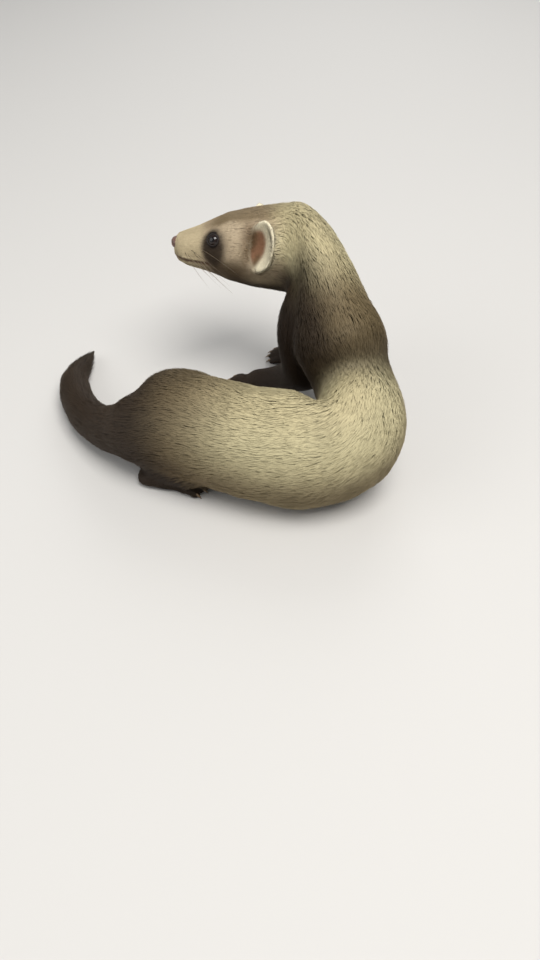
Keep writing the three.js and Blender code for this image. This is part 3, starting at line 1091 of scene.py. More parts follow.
    def lay(self, made: SkinFields) -> None:
        """Works out lie, depth, colours and unwrap of the fields in place.

        Args:
            made: The fields.
        """
        at, depths = self.unwrap, self.depths
        local = self.line.in_head(made.points)
        row, turn, made.lie = self.line.read(made.points)
        made.colour = self.markings.trunk(made.points)
        along = at.edge + at.body[0] * row / at.rows
        made.sheet = np.stack([along, at.edge + at.body[1] * at.round(turn)], 1)
        made.depth = np.full(len(row), depths.trunk)
        tail = in_region(made.region, Region.TAIL)
        deeper = depths.tail[0] + depths.tail[1] * smoothstep(row, *depths.tail_span)
        made.depth[tail] = deeper[tail]
        made.depth[in_region(made.region, Region.NECK)] = depths.neck
        self.lay_head(made, local)
        self.lay_ears(made, local)
        self.lay_legs(made)
        made.lie = made.soften(made.lie, self.lie_rounds)
        made.depth = made.soften(made.depth, self.depth_rounds)
        made.colour = made.soften(made.colour, self.colour_rounds)
        made.sheet = np.clip(made.sheet, at.least, 1 - at.least)

    def lay_head(self, made: SkinFields, local: np.ndarray) -> None:
        """Works out the fields of the head in place.

        Args:
            made: The fields.
            local: The points in the head's frame.
        """
        at, depths = self.unwrap, self.depths
        head = in_region(made.region, Region.HEAD)
        deeper = depths.head[0] + depths.head[1] * smoothstep(local[:, 0], *depths.head_span)
        made.depth[head] = deeper[head]
        own = 1 - smoothstep(local[head, 0], *self.nape)
        body = made.colour[head]
        made.colour[head] += (self.markings.head(made.points[head]) - body) * own[:, None]
        _, axes = self.line.head_axes()
        made.lie[head] = -axes[0]
        around = at.round(np.degrees(np.arctan2(local[:, 2], local[:, 1])))
        along = at.edge + at.head[0] * local[:, 0] / at.head_length
        made.sheet[head] = np.stack([along, at.head_at + at.head[1] * around], 1)[head]

    def lay_ears(self, made: SkinFields, local: np.ndarray) -> None:
        """Works out the fields of both ears in place.

        Args:
            made: The fields.
            local: The points in the head's frame.
        """
        at, line = self.unwrap, self.line
        for k, (name, ear) in enumerate(EARS.items()):
            mine = on_node(made.node, name)
            spot = ear.read(local)
            share, _ = ear.inside(line, made.points, made.normals)
            outward = spot[:, 1:2] * ear.direction(line, 1) + spot[:, 2:] * ear.direction(line, 2)
            made.lie[mine] = unit(outward)[mine]
            made.depth[mine] = self.depths.ear
            made.colour[mine] = self.markings.ear(made.points[mine], made.normals[mine], ear)
            cup = -ear.depth * (1 - np.minimum(share, 1) ** self.rim_curve) - self.rim_lift
            outer = (spot[:, 0] < cup) * at.ear_apart
            centre = np.array([at.ear_at[0] + at.ear_apart * k, at.ear_at[1]])
            flat = centre + at.ear_size * spot[:, 1:] / at.ear_length
            made.sheet[mine] = (flat + np.stack([0 * outer, outer], 1))[mine]

    def lay_legs(self, made: SkinFields) -> None:
        """Works out the fields of legs and feet in place.

        Args:
            made: The fields.
        """
        at, depths = self.unwrap, self.depths
        _, _, tailward = self.line.read(made.points)
        hanging = tailward - [0, 0, self.fall]
        for k, leg in enumerate(LEGS):
            down, angle, ahead = leg.read(made.points)
            free = smoothstep(down, *(self.hind_free if leg.hind else self.fore_free))
            ahead = ahead * free[:, None] + hanging * (1 - free)[:, None]
            thinner = smoothstep(down, *(depths.hind_span if leg.hind else depths.fore_span))
            taper = depths.leg[0] + depths.leg[1] * thinner
            along = at.edge + at.leg[0] * (down + at.leg_start) / at.leg_length
            across = at.leg_at + at.leg_apart * k + at.leg[1] * at.round(angle)
            for name in (leg.name, leg.foot):
                mine = on_node(made.node, name)
                made.lie[mine] = ahead[mine]
                made.depth[mine] = depths.foot if name == leg.foot else taper[mine]
                made.colour[mine] = self.markings.leg(made.points[mine], leg)
                made.sheet[mine] = np.stack([along, across], 1)[mine]

    def shrink(self, mesh: bpy.types.Mesh) -> None:
        """Moves the skin inwards by the coat's depth, and keeps it clear of the eyes.

        Args:
            mesh: The skin's mesh.
        """
        made = self.fields
        slack = made.soften(made.normals, self.inward_rounds)
        moved = made.points - unit(slack) * made.depth[:, None]
        for eye in EYES.values():
            middle = eye.middle()
            apart = moved - middle
            gap = np.linalg.norm(apart, axis=1)
            apart = self.closed_lids(apart, gap, eye)
            moved = middle + apart
            inside = gap < eye.radius + self.socket_gap
            moved[inside] = middle + unit(apart[inside]) * (eye.radius + self.socket_gap)
        moved[:, 2] = np.maximum(moved[:, 2], self.floor_clear)
        mesh.vertices.foreach_set("co", to_row_frame(moved).ravel())
        mesh.update()
        made.points, made.normals, made.triangles = mesh_arrays(mesh)
        made.normals = unit(made.soften(made.normals, self.normal_rounds))

    def closed_lids(self, apart: np.ndarray, gap: np.ndarray, eye: EyePlace) -> np.ndarray:
        """Draws the skin round an eye a little over it, as lids.

        Args:
            apart: The skin's places from the eye's middle.
            gap: How far they are.
            eye: The eye.

        Returns:
            The places from the eye's middle, with those near it turned towards its gaze.
        """
        gaze = eye.gaze(self.line)
        ahead = apart @ gaze
        out = apart - ahead[:, None] * gaze
        wide = np.linalg.norm(out, axis=1)
        angle = np.arctan2(wide, ahead)
        start, full = self.lid_reach
        near = smoothstep(gap, eye.radius + start, eye.radius + full) * (angle < self.lid_angle)
        angle = np.maximum(angle - self.lid_turn * near, 0.0)
        size = np.hypot(wide, ahead)[:, None]
        turned = np.cos(angle)[:, None] * gaze + np.sin(angle)[:, None] * unit(out)
        return np.where((near > 0)[:, None], turned * size, apart)

    def build(self) -> None:
        """Makes the skin with its markings and its unwrap, and reads its fields."""
        mesh = self.shaped(self.remeshed(self.flesh()))
        self.fields = self.read_fields(mesh)
        self.shrink(mesh)
        mesh.name = "skin"
        paint(mesh, self.fields.colour)
        unwrap = mesh.uv_layers.new(name=BAKE_MAP)
        corners = np.empty(len(mesh.loops), np.int32)
        mesh.loops.foreach_get("vertex_index", corners)
        unwrap.data.foreach_set("uv", self.fields.sheet[corners].ravel())
        mesh.shade_smooth()
        made = add_piece("skin", mesh, FurSkin().material())
        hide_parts(*FLESH)


# Making and dressing pieces


def paint(mesh: bpy.types.Mesh, colours: np.ndarray) -> None:
    """Writes a linear colour for each vertex as the markings attribute.

    Args:
        mesh: The mesh.
        colours: Its colours.
    """
    layer = mesh.color_attributes.new(MARKINGS, "FLOAT_COLOR", "POINT")
    full = np.ones((len(colours), 4), np.float32)
    full[:, :3] = colours
    layer.data.foreach_set("color", full.ravel())


def add_piece(
    name: str, mesh: bpy.types.Mesh, material: bpy.types.Material
) -> bpy.types.Object:
    """Puts a mesh in the scene as a piece of the ferret.

    Args:
        name: The piece's name.
        mesh: Its mesh, in metres in the row frame.
        material: Its finish.

    Returns:
        The new object.
    """
    mesh.materials.clear()
    mesh.materials.append(material)
    made = bpy.data.objects.new(name, mesh)
    bpy.context.scene.collection.objects.link(made)
    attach(made, BODY)
    report.info("%s: %d faces", name, len(mesh.polygons))
    return made


def new_material(
    name: str, numbers: dict[str, float | tuple]
) -> tuple[bpy.types.Material, bpy.types.NodeTree, bpy.types.Node]:
    """A material with nodes.

    Args:
        name: Its name.
        numbers: What goes on the shader's own sockets.

    Returns:
        The material, its tree and its shader.
    """
    material = bpy.data.materials.new(name)
    material.use_nodes = True
    tree = material.node_tree
    shader = next(node for node in tree.nodes if node.type == "BSDF_PRINCIPLED")
    for socket, value in numbers.items():
        shader.inputs[socket].default_value = value
    return material, tree, shader


def add_noise(
    tree: bpy.types.NodeTree, scale: float, detail: float, stretch: Triple = (1, 1, 1)
) -> bpy.types.NodeSocket:
    """Noise over object coordinates.

    Args:
        tree: The material's tree.
        scale: How fine the noise is.
        detail: Its octaves.
        stretch: Scale of each axis.

    Returns:
        The noise value's socket.
    """
    place = tree.nodes.new("ShaderNodeTexCoord")
    mapping = tree.nodes.new("ShaderNodeMapping")
    mapping.inputs["Scale"].default_value = stretch
    noise = tree.nodes.new("ShaderNodeTexNoise")
    noise.inputs["Scale"].default_value = scale
    noise.inputs["Detail"].default_value = detail
    tree.links.new(place.outputs["Object"], mapping.inputs["Vector"])
    tree.links.new(mapping.outputs["Vector"], noise.inputs["Vector"])
    return noise.outputs["Fac"]


def add_bump(
    tree: bpy.types.NodeTree,
    shader: bpy.types.Node,
    height: bpy.types.NodeSocket,
    strength: float,
    distance: float,
) -> None:
    """Bump from a height socket.

    Args:
        tree: The material's tree.
        shader: Its shader.
        height: The socket that gives the height.
        strength: How strong the bump is.
        distance: How high it is, in mm.
    """
    bump = tree.nodes.new("ShaderNodeBump")
    bump.inputs["Strength"].default_value = strength
    bump.inputs["Distance"].default_value = distance * MM
    tree.links.new(height, bump.inputs["Height"])
    tree.links.new(bump.outputs["Normal"], shader.inputs["Normal"])


def add_ramp(
    tree: bpy.types.NodeTree,
    shader: bpy.types.Node,
    value: bpy.types.NodeSocket,
    stops: list[tuple[float, Rgb]],
) -> bpy.types.Node:
    """Colours the shader by a value.

    Args:
        tree: The material's tree.
        shader: Its shader.
        value: The socket that is read.
        stops: The value and the colour of each stop, in order.

    Returns:
        The ramp.
    """
    ramp = tree.nodes.new("ShaderNodeValToRGB")
    elements = ramp.color_ramp.elements
    ready = len(elements)
    for k, (spot, colour) in enumerate(stops):
        element = elements[k] if k < ready else elements.new(spot)
        element.position = spot
        element.color = (*linear(colour), 1)
    tree.links.new(value, ramp.inputs["Fac"])
    tree.links.new(ramp.outputs["Color"], shader.inputs["Base Color"])
    return ramp


def tint(
    tree: bpy.types.NodeTree,
    shader: bpy.types.Node,
    amount: bpy.types.NodeSocket,
    greys: tuple[float, float],
) -> None:
    """Multiplies the markings by a grey, and gives them to the shader.

    Args:
        tree: The material's tree.
        shader: Its shader.
        amount: Noise that the grey follows.
        greys: The grey where the noise is low, and where it is high.
    """
    source = tree.nodes.new("ShaderNodeVertexColor")
    source.layer_name = MARKINGS
    span = tree.nodes.new("ShaderNodeMapRange")
    for end, noise, grey in zip(("Min", "Max"), NOISE_SPAN, greys):
        span.inputs[f"From {end}"].default_value = noise
        span.inputs[f"To {end}"].default_value = grey
    scale = tree.nodes.new("ShaderNodeVectorMath")
    scale.operation = "SCALE"
    tree.links.new(amount, span.inputs["Value"])
    tree.links.new(source.outputs["Color"], scale.inputs[0])
    tree.links.new(span.outputs["Result"], scale.inputs["Scale"])
    tree.links.new(scale.outputs["Vector"], shader.inputs["Base Color"])


@dataclass(frozen=True)
class FurSkin:
    """Short dense underfur on the skin."""

    roughness: float = 0.85
    gloss: float = 0.2
    grain: float = 900.0
    octaves: float = 4.0
    greys: tuple[float, float] = (0.82, 1.04)
    bump: tuple[float, float] = (0.7, 0.5)

    def material(self) -> bpy.types.Material:
        """Makes the finish.

        Returns:
            The material.
        """
        numbers = {"Roughness": self.roughness, "Specular IOR Level": self.gloss}
        made, tree, shader = new_material("fur_skin", numbers)
        fine = add_noise(tree, self.grain, self.octaves)
        tint(tree, shader, fine, self.greys)
        add_bump(tree, shader, fine, *self.bump)
        return made


@dataclass(frozen=True)
class FurCoat:
    """Soft guard hair of the tufts."""

    roughness: float = 0.62
    gloss: float = 0.25
    sheen: float = 0.06
    sheen_roughness: float = 0.5
    sheen_tint: Rgb = (196, 158, 112)
    grain: float = 55.0
    octaves: float = 3.0
    greys: tuple[float, float] = (0.93, 1.06)

    def material(self) -> bpy.types.Material:
        """Makes the finish.

        Returns:
            The material.
        """
        numbers = {
            "Roughness": self.roughness,
            "Specular IOR Level": self.gloss,
            "Sheen Weight": self.sheen,
            "Sheen Roughness": self.sheen_roughness,
            "Sheen Tint": (*linear(self.sheen_tint), 1),
        }
        made, tree, shader = new_material("fur_coat", numbers)
        tint(tree, shader, add_noise(tree, self.grain, self.octaves), self.greys)
        return made


@dataclass(frozen=True)
class NoseLeather:
    """Moist pebbled leather of the nose."""

    colour: Rgb = (134, 100, 86)
    shade: Rgb = (90, 64, 54)
    shade_at: float = 0.8
    roughness: float = 0.38
    moist: float = 0.25
    pebbles: float = 1700.0
    bump: tuple[float, float] = (0.35, -0.12)

    def material(self) -> bpy.types.Material:
        """Makes the finish.

        Returns:
            The material.
        """
        numbers = {
            "Roughness": self.roughness,
            "Coat Weight": self.moist,
            "Coat Roughness": self.moist,
        }
        made, tree, shader = new_material("nose_leather", numbers)
        cells = tree.nodes.new("ShaderNodeTexVoronoi")
        cells.inputs["Scale"].default_value = self.pebbles
        place = tree.nodes.new("ShaderNodeTexCoord")
        tree.links.new(place.outputs["Object"], cells.inputs["Vector"])
        gap = cells.outputs["Distance"]
        add_ramp(tree, shader, gap, [(0.0, self.colour), (self.shade_at, self.shade)])
        add_bump(tree, shader, gap, *self.bump)
        return made


@dataclass(frozen=True)
class EyeGloss:
    """Dark wet eye with a brown iris round a black pupil."""

    iris: Rgb = (28, 16, 10)
    pupil: Rgb = (6, 4, 4)
    iris_from: float = 0.82
    iris_to: float = 0.93
    pupil_from: float = 0.955
    roughness: float = 0.06

    def material(self) -> bpy.types.Material:
        """Makes the finish.

        Returns:
            The material.
        """
        made, tree, shader = new_material("eye_gloss", {"Roughness": self.roughness})
        turn = tree.nodes.new("ShaderNodeAttribute")
        turn.attribute_name = GAZE
        stops = [
            (0.0, self.pupil),
            (self.iris_from, self.iris),
            (self.iris_to, self.iris),
            (self.pupil_from, self.pupil),
        ]
        ramp = add_ramp(tree, shader, turn.outputs["Fac"], stops)
        ramp.color_ramp.interpolation = "EASE"
        return made


@dataclass(frozen=True)
class NoisyFinish:
    """A plain finish between two colours, which noise mixes."""

    name: str
    low: Rgb
    high: Rgb
    roughness: float
    grain: float
    octaves: float
    stretch: Triple = (1, 1, 1)
    bump: tuple[float, float] | None = None

    def material(self) -> bpy.types.Material:
        """Makes the finish.

        Returns:
            The material.
        """
        made, tree, shader = new_material(self.name, {"Roughness": self.roughness})
        noise = add_noise(tree, self.grain, self.octaves, self.stretch)
        add_ramp(tree, shader, noise, [(0.0, self.low), (1.0, self.high)])
        if self.bump:
            add_bump(tree, shader, noise, *self.bump)
        return made


LID_SKIN = NoisyFinish(
    name="lid_skin",
    low=(18, 12, 9),
    high=(34, 25, 19),
    roughness=0.75,
    grain=1500.0,
    octaves=3.0,
    bump=(0.3, 0.1),
)
CLAW_HORN = NoisyFinish(
    name="claw_horn",
    low=(150, 128, 100),
    high=(84, 66, 48),
    roughness=0.35,
    grain=700.0,
    octaves=2.0,
    stretch=(1, 1, 0.3),
)
WHISKER_HAIR = NoisyFinish(
    name="whisker_hair",
    low=(92, 76, 58),
    high=(150, 134, 110),
    roughness=0.4,
    grain=120.0,
    octaves=1.0,
)


# The coat


@dataclass(frozen=True)
class Growth:
    """How the coat grows in one region: sizes in mm, tufts per square mm."""

    length: float
    width: float
    density: float
    height: float
    stray: float
    shares: tuple[float, ...]
    swell: tuple[float, ...]


# Where a tuft has its rings, in shares of its length, and how wide they are in shares of its width
SHORT = ((0.0, 0.5), (0.85, 0.9))
LONG = ((0.0, 0.38, 0.72), (0.75, 1.0, 0.72))
GROWTH = {
    Region.HEAD: Growth(3.4, 0.42, 3.0, 0.8, 6, *SHORT),
    Region.EAR: Growth(1.6, 0.36, 3.4, 0.25, 8, *SHORT),
    Region.NECK: Growth(11.5, 0.72, 1.75, 3.5, 6, *LONG),
    Region.TRUNK: Growth(13.5, 0.78, 1.42, 3.8, 6, *LONG),
    Region.TAIL: Growth(15.0, 0.8, 1.6, 4.8, 8, *LONG),
    Region.LEG: Growth(7.0, 0.66, 1.75, 1.8, 6, *SHORT),
    Region.FOOT: Growth(2.6, 0.4, 3.0, 0.4, 7, *SHORT),
}
# What a size is at the muzzle and gains up to the nape, and what it is at the top of a leg and gains
# down to the foot
HEAD_GROWTH = {
    "length": (1.6, 9.4),
    "height": (0.28, 3.3),
    "width": (0.3, 0.42),
    "density": (5.5, -3.6),
}
LEG_GROWTH = {"length": (10.5, -6.5), "height": (3.6, -2.8)}


@dataclass
class Coat:
    """Tapered tufts that are laid over the skin along its lie."""

    skin: Skin
    most_triangles: int = 190_000
    patch: float = 0.003
    floor_clear: float = 0.25
    ridge: float = 0.22
    side_lean: float = 0.35
    drift_rounds: int = 45
    drift_turn: float = 5.0
    guard_share: float = 0.08
    mouth_clear: float = 0.55
    local_tone: float = 0.6
    head_span: Span = (16, 62)
    leg_span: Span = (10, 56)
    growth_rounds: int = 14
    eye_clear: float = 0.75
    nose_clear: float = 5.0
    sole_facing: float = -0.6
    sole_height: float = 3.0
    length_range: tuple[float, float] = (0.72, 1.18)
    height_range: tuple[float, float] = (0.85, 1.04)
    width_range: tuple[float, float] = (0.78, 1.2)
    drift_height: float = 0.07
    drift_most: float = 2.0
    grey_spread: float = 0.04
    grey_range: tuple[float, float] = (0.85, 1.15)
    guard_width: float = 0.6
    guard_grey: float = 0.9
    least_run: float = 0.5
    gather: Span = (1.0, 0.15)
    beyond_tip: tuple[float, float] = (1.0, 7.0)
    tip_spread: tuple[float, float] = (1.1, 0.13)
    tip_bulge: float = 1.6
    root_shade: float = 0.93
    tip_shade: float = 0.1
    patch_filled: float = 0.9
    tree: BVHTree = field(init=False)

    def __post_init__(self) -> None:
        """Makes the tree that the tufts are laid on."""
        fields = self.skin.fields
        self.tree = BVHTree.FromPolygons(fields.points.tolist(), fields.triangles.tolist())

    def vertex_growth(self, random: np.random.Generator) -> dict[str, np.ndarray]:
        """The coat's sizes, stray and drift at each vertex of the skin.

        Args:
            random: The source of random numbers.

        Returns:
            A value for each vertex under each name.
        """
        fields = self.skin.fields
        made = {}
        for key in ("length", "width", "density", "height", "stray"):
            rows = np.array([getattr(GROWTH[region], key) for region in REGIONS], float)
            made[key] = rows[fields.region]
        head = in_region(fields.region, Region.HEAD)
        grown = smoothstep(self.skin.line.in_head(fields.points)[:, 0], *self.head_span)
        for key, (start, gain) in HEAD_GROWTH.items():
            made[key] = np.where(head, start + gain * grown, made[key])
        for leg in LEGS:
            down, _, _ = leg.read(fields.points)
            mine, lower = on_node(fields.node, leg.name), smoothstep(down, *self.leg_span)
            for key, (start, gain) in LEG_GROWTH.items():
                made[key] = np.where(mine, start + gain * lower, made[key])
        for key in ("length", "height", "width"):
            made[key] = fields.soften(made[key], self.growth_rounds)
        drift = fields.soften(random.standard_normal(len(fields.points)), self.drift_rounds)
        made["drift"] = drift / drift.std()
        return made

    def roots(self, growth: dict[str, np.ndarray], random: np.random.Generator) -> dict:
        """Places tufts over the skin, as many as its coat is dense.

        Args:
            growth: The coat's sizes at each vertex.
            random: The source of random numbers.

        Returns:
            What is known at each root.
        """
        fields = self.skin.fields
        corners = fields.triangles
        place = fields.points[corners]
        normal = np.cross(place[:, 1] - place[:, 0], place[:, 2] - place[:, 0])
        area = np.linalg.norm(normal, axis=1) / 2
        wanted = area * growth["density"][corners].mean(1)
        number = np.floor(wanted + random.random(len(wanted))).astype(int)
        face = np.repeat(np.arange(len(wanted)), number)
        first, second = random.random(len(face)), random.random(len(face))
        over = first + second > 1
        first[over], second[over] = 1 - first[over], 1 - second[over]
        share = np.stack([1 - first - second, first, second], 1)

        def mix(values: np.ndarray) -> np.ndarray:
            """The values at the roots.

            Args:
                values: A value or a row of values for each vertex.

            Returns:
                A value or a row for each root.
            """
            picked = values[corners[face]]
            weights = share if picked.ndim == 2 else share[:, :, None]
            return (picked * weights).sum(1)

        made = {key: mix(growth[key]) for key in growth}
        made["place"] = mix(fields.points)
        made["normal"] = unit(mix(fields.normals))
        made["lie"] = mix(fields.lie)
        made["colour"] = mix(fields.colour)
        made["sheet"] = fields.sheet[corners[face, 0]]
        made["region"] = fields.region[corners[face, 0]]
        made["node"] = fields.node[corners[face, 0]]
        keep = self.allowed(made)
        return {key: values[keep] for key, values in made.items()}

    def allowed(self, made: dict) -> np.ndarray:
        """Which roots keep their tuft: none on eyes, nose, lips' line, soles or inside an ear.

        Args:
            made: What is known at each root.

        Returns:
            Whether each root keeps its tuft.
        """
        line, place = self.skin.line, made["place"]
        keep = np.ones(len(place), bool)
        for eye in EYES.values():
            gap = np.linalg.norm(place - eye.middle(), axis=1)
            keep &= gap > eye.radius + self.eye_clear
        low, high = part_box("nose")
        middle = from_row_frame((low + high) / 2)
        keep &= np.linalg.norm(place - middle, axis=1) > self.nose_clear
        behind, _, up = line.in_head(place).T
        mouth = MouthLine()
        lips = (mouth.gap(behind, up) < self.mouth_clear) & (behind < mouth.corner)
        keep &= ~(in_region(made["region"], Region.HEAD) & lips)
        for name, ear in EARS.items():
            _, facing = ear.inside(line, place, made["normal"])
            hollow = (ear.bare(line, place) < 1) & (facing > 0)
            keep &= ~(on_node(made["node"], name) & hollow)
        sole = (made["normal"][:, 2] < self.sole_facing) & (place[:, 2] < self.sole_height)
        return keep & ~sole

    def tufts(self, roots: dict, random: np.random.Generator) -> dict:
        """Gives each tuft its sizes and shades.

        Args:
            roots: What is known at each root.
            random: The source of random numbers.

        Returns:
            The roots with the tufts' own values.
        """
        count = len(roots["place"])
        angle = roots["stray"] * random.standard_normal(count) + self.drift_turn * roots["drift"]
        length = roots["length"] * random.uniform(*self.length_range, count)
        height = roots["height"] * random.uniform(*self.height_range, count)
        drift = roots["drift"].clip(-self.drift_most, self.drift_most)
        height *= 1 + self.drift_height * drift
        grey = random.normal(1.0, self.grey_spread, count).clip(*self.grey_range)
        guard = random.random(count) < self.guard_share
        width = roots["width"] * random.uniform(*self.width_range, count)
        least = (self.least_run * length) ** 2
        return {
            **roots,
            "turn": np.radians(angle),
            "run": np.sqrt(np.maximum(length**2 - height**2, least)),
            "height": height,
            "width": width * np.where(guard, self.guard_width, 1.0),
            "grey": np.where(guard, grey * self.guard_grey, grey),
        }

    def headed(self, lie: np.ndarray, normal: np.ndarray, turn: np.ndarray) -> np.ndarray:
        """Directions on the skin, turned away from its lie.

        Args:
            lie: The coat's lie.
            normal: The skin's directions there.
            turn: An angle for each, in radians.

        Returns:
            The directions, of length one.
        """
        flat = unit(lie - (lie * normal).sum(1, keepdims=True) * normal)
        side = np.cross(normal, flat)
        return flat * np.cos(turn)[:, None] + side * np.sin(turn)[:, None]

    def on_skin(self, points: np.ndarray) -> tuple[np.ndarray, ...]:
        """The nearest places on the skin, and what it is like there.

        Args:
            points: Points in mm.

        Returns:
            The places, and the skin's directions, lie and colours there.
        """
        fields = self.skin.fields
        found = [self.tree.find_nearest(point) for point in points.tolist()]
        spots = np.array([tuple(hit[0]) for hit in found])
        corners = fields.triangles[[hit[2] for hit in found]]
        a, b, c = (fields.points[corners[:, k]] for k in range(3))
        whole = np.cross(b - a, c - a)
        size = np.maximum((whole * whole).sum(1), TINY)
        second = (np.cross(c - a, a - spots) * whole).sum(1) / size
        third = (np.cross(a - spots, b - a) * whole).sum(1) / size
        share = np.stack([1 - second - third, second, third], 1)[:, :, None]
        known = (fields.normals, fields.lie, fields.colour)
        normals, lie, colours = [(values[corners] * share).sum(1) for values in known]
        return spots, unit(normals), lie, colours

    def laid(self, tufts: dict, shares: tuple[float, ...]) -> tuple[list, list, list, list]:
        """Walks each tuft's axis over the skin, up first and then flat along the body.

        Args:
            tufts: The tufts' arrays.
            shares: The shares of the length at which the axis is wanted.

        Returns:
            The axis points, the skin's directions, the directions to the side and the colours, at
            each share.
        """
        place, normal, turn = tufts["place"], tufts["normal"], tufts["turn"]
        ahead = self.headed(tufts["lie"], normal, turn)
        axis, outward, sides = [place], [normal], [np.cross(normal, ahead)]
        colours = [tufts["colour"]]
        for before, share in zip(shares, shares[1:]):
            step = (tufts["run"] * (share - before))[:, None]
            place, normal, lie, below = self.on_skin(place + ahead * step)
            ahead = self.headed(lie, normal, turn)
            rise = tufts["height"] * (1 - (1 - share) ** 2)
            axis.append(place + normal * rise[:, None])
            outward.append(normal)
            sides.append(np.cross(normal, ahead))
            colours.append(tufts["colour"] * (1 - self.local_tone) + below * self.local_tone)
        self.gather_at_tip(tufts, shares, axis)
        return axis, outward, sides, colours

    def gather_at_tip(self, tufts: dict, shares: tuple[float, ...], axis: list) -> None:
        """Draws the tufts of the tail's end together beyond it, in place.

        Args:
            tufts: The tufts' arrays.
            shares: The shares of the length at which the axis is known.
            axis: The axis points at each share.
        """
        line = self.skin.line
        tail = in_region(tufts["region"], Region.TAIL)
        if not tail.any():
            return
        row, _, _ = line.read(tufts["place"])
        pull = np.where(tail, smoothstep(row, *self.gather), 0.0)[:, None]
        beyond = self.beyond_tip[0] + self.beyond_tip[1] * (tufts["height"][:, None] % 1.0)
        spread = tufts["normal"] * (self.tip_spread[0] - self.tip_spread[1] * beyond)
        end = line.places[0] - line.along[0] * beyond + spread
        for k, share in enumerate(shares[1:], 1):
            meet = tufts["place"] + (end - tufts["place"]) * share
            bulge = tufts["normal"] * (self.tip_bulge * share * (1 - share))
            axis[k] = axis[k] + (meet + bulge - axis[k]) * pull

    def pattern(self, rings: int) -> np.ndarray:
        """The triangles of one tuft, from its closed root over its rings to its tip.

        Args:
            rings: How many rings of three points it has.

        Returns:
            The triangles' corners.
        """
        faces = [[0, 2, 1]]
        for k in range(rings - 1):
            a, b = 3 * k, 3 * k + 3
            for i in range(3):
                j = (i + 1) % 3
                faces += [[a + i, a + j, b + j], [a + i, b + j, b + i]]
        last = 3 * (rings - 1)
        faces += [[last + i, last + (i + 1) % 3, 3 * rings] for i in range(3)]
        return np.array(faces)

    def write(self, name: str, region: Region, tufts: dict, material: bpy.types.Material) -> None:
        """Writes tufts as one closed mesh each, joined into a piece.

        Args:
            name: The piece's name.
            region: Where it grows.
            tufts: The tufts' arrays.
            material: The finish.
        """
        shares, swell = GROWTH[region].shares, GROWTH[region].swell
        count = len(tufts["place"])
        axis, outward, sides, colours = self.laid(tufts, (*shares, 1.0))
        points, normals = [], []
        for centre, normal, side, wide in zip(axis, outward, sides, swell):
            half = (tufts["width"] * wide / 2)[:, None]
            ridge = centre + normal * half * 2 * self.ridge
            points += [centre + side * half, ridge, centre - side * half]
            normals += [normal + side * self.side_lean, normal, normal - side * self.side_lean]
        points = np.stack([*points, axis[-1]], 1)
        normals = unit(np.stack([*normals, outward[-1]], 1))
        points[:, :, 2] = np.maximum(points[:, :, 2], self.floor_clear)
        per = points.shape[1]
        pattern = self.pattern(len(shares))
        if self.volume(points[0], pattern) < 0:
            pattern = pattern[:, ::-1]
        corners = (pattern[None] + (np.arange(count) * per)[:, None, None]).reshape(-1, 3)
        mesh = bpy.data.meshes.new(name)
        mesh.vertices.add(count * per)
        mesh.vertices.foreach_set("co", to_row_frame(points.reshape(-1, 3)).ravel())
        mesh.loops.add(corners.size)
        mesh.loops.foreach_set("vertex_index", corners.ravel().astype(np.int32))
        mesh.polygons.add(len(corners))
        starts = np.arange(len(corners), dtype=np.int32) * 3
        mesh.polygons.foreach_set("loop_start", starts)
        mesh.update(calc_edges=True)
        of_ring = [3] * len(shares) + [1]
        along = np.repeat(np.array([*shares, 1.0]), of_ring)
        # Painted shade: each tuft is darker at its root, deep in the coat, and lighter at its tip
        shade = self.root_shade + self.tip_shade * along
        colours = np.repeat(np.stack(colours, 1), of_ring, axis=1)
        colours *= shade[None, :, None] * tufts["grey"][:, None, None]
        paint(mesh, colours.reshape(-1, 3))
        across = np.array([0.5, 0.0, -0.5] * len(shares) + [0.0])
        patch = np.stack([along - 0.5, across], 1) * self.patch * self.patch_filled
        sheet = (tufts["sheet"][:, None, :] + patch[None]).reshape(-1, 2)
        layer = mesh.uv_layers.new(name=BAKE_MAP)
        layer.data.foreach_set("uv", sheet[corners.ravel()].ravel())
        mesh.shade_smooth()
        mesh.normals_split_custom_set_from_vertices(normals.reshape(-1, 3).tolist())
        add_piece(name, mesh, material)

    def volume(self, points: np.ndarray, pattern: np.ndarray) -> float:
        """Six times the volume of one tuft, which is positive where its faces point outwards."""
        a, b, c = (points[pattern[:, k]] for k in range(3))
        return float((a * np.cross(b, c)).sum())

    def build(self) -> None:
        """Makes every piece of the coat, region by region."""
        random = np.random.default_rng(SEED)
        roots = self.roots(self.vertex_growth(random), random)
        tufts = self.tufts(roots, random)
        material = FurCoat().material()
        total = 0
        for region in Region:
            mine = np.flatnonzero(in_region(tufts["region"], region))
            per = len(self.pattern(len(GROWTH[region].shares)))
            total += len(mine) * per
            pieces = max(1, math.ceil(len(mine) * per / self.most_triangles))
            order = mine[np.argsort(tufts["sheet"][mine, 0], kind="stable")]
            for k, part in enumerate(np.array_split(order, pieces)):
                chosen = {key: values[part] for key, values in tufts.items()}
                self.write(f"coat_{region.value}_{k + 1}", region, chosen, material)
        report.info("coat: %d tufts, %d triangles", len(tufts["region"]), total)


# Eyes, nose, claws and whiskers


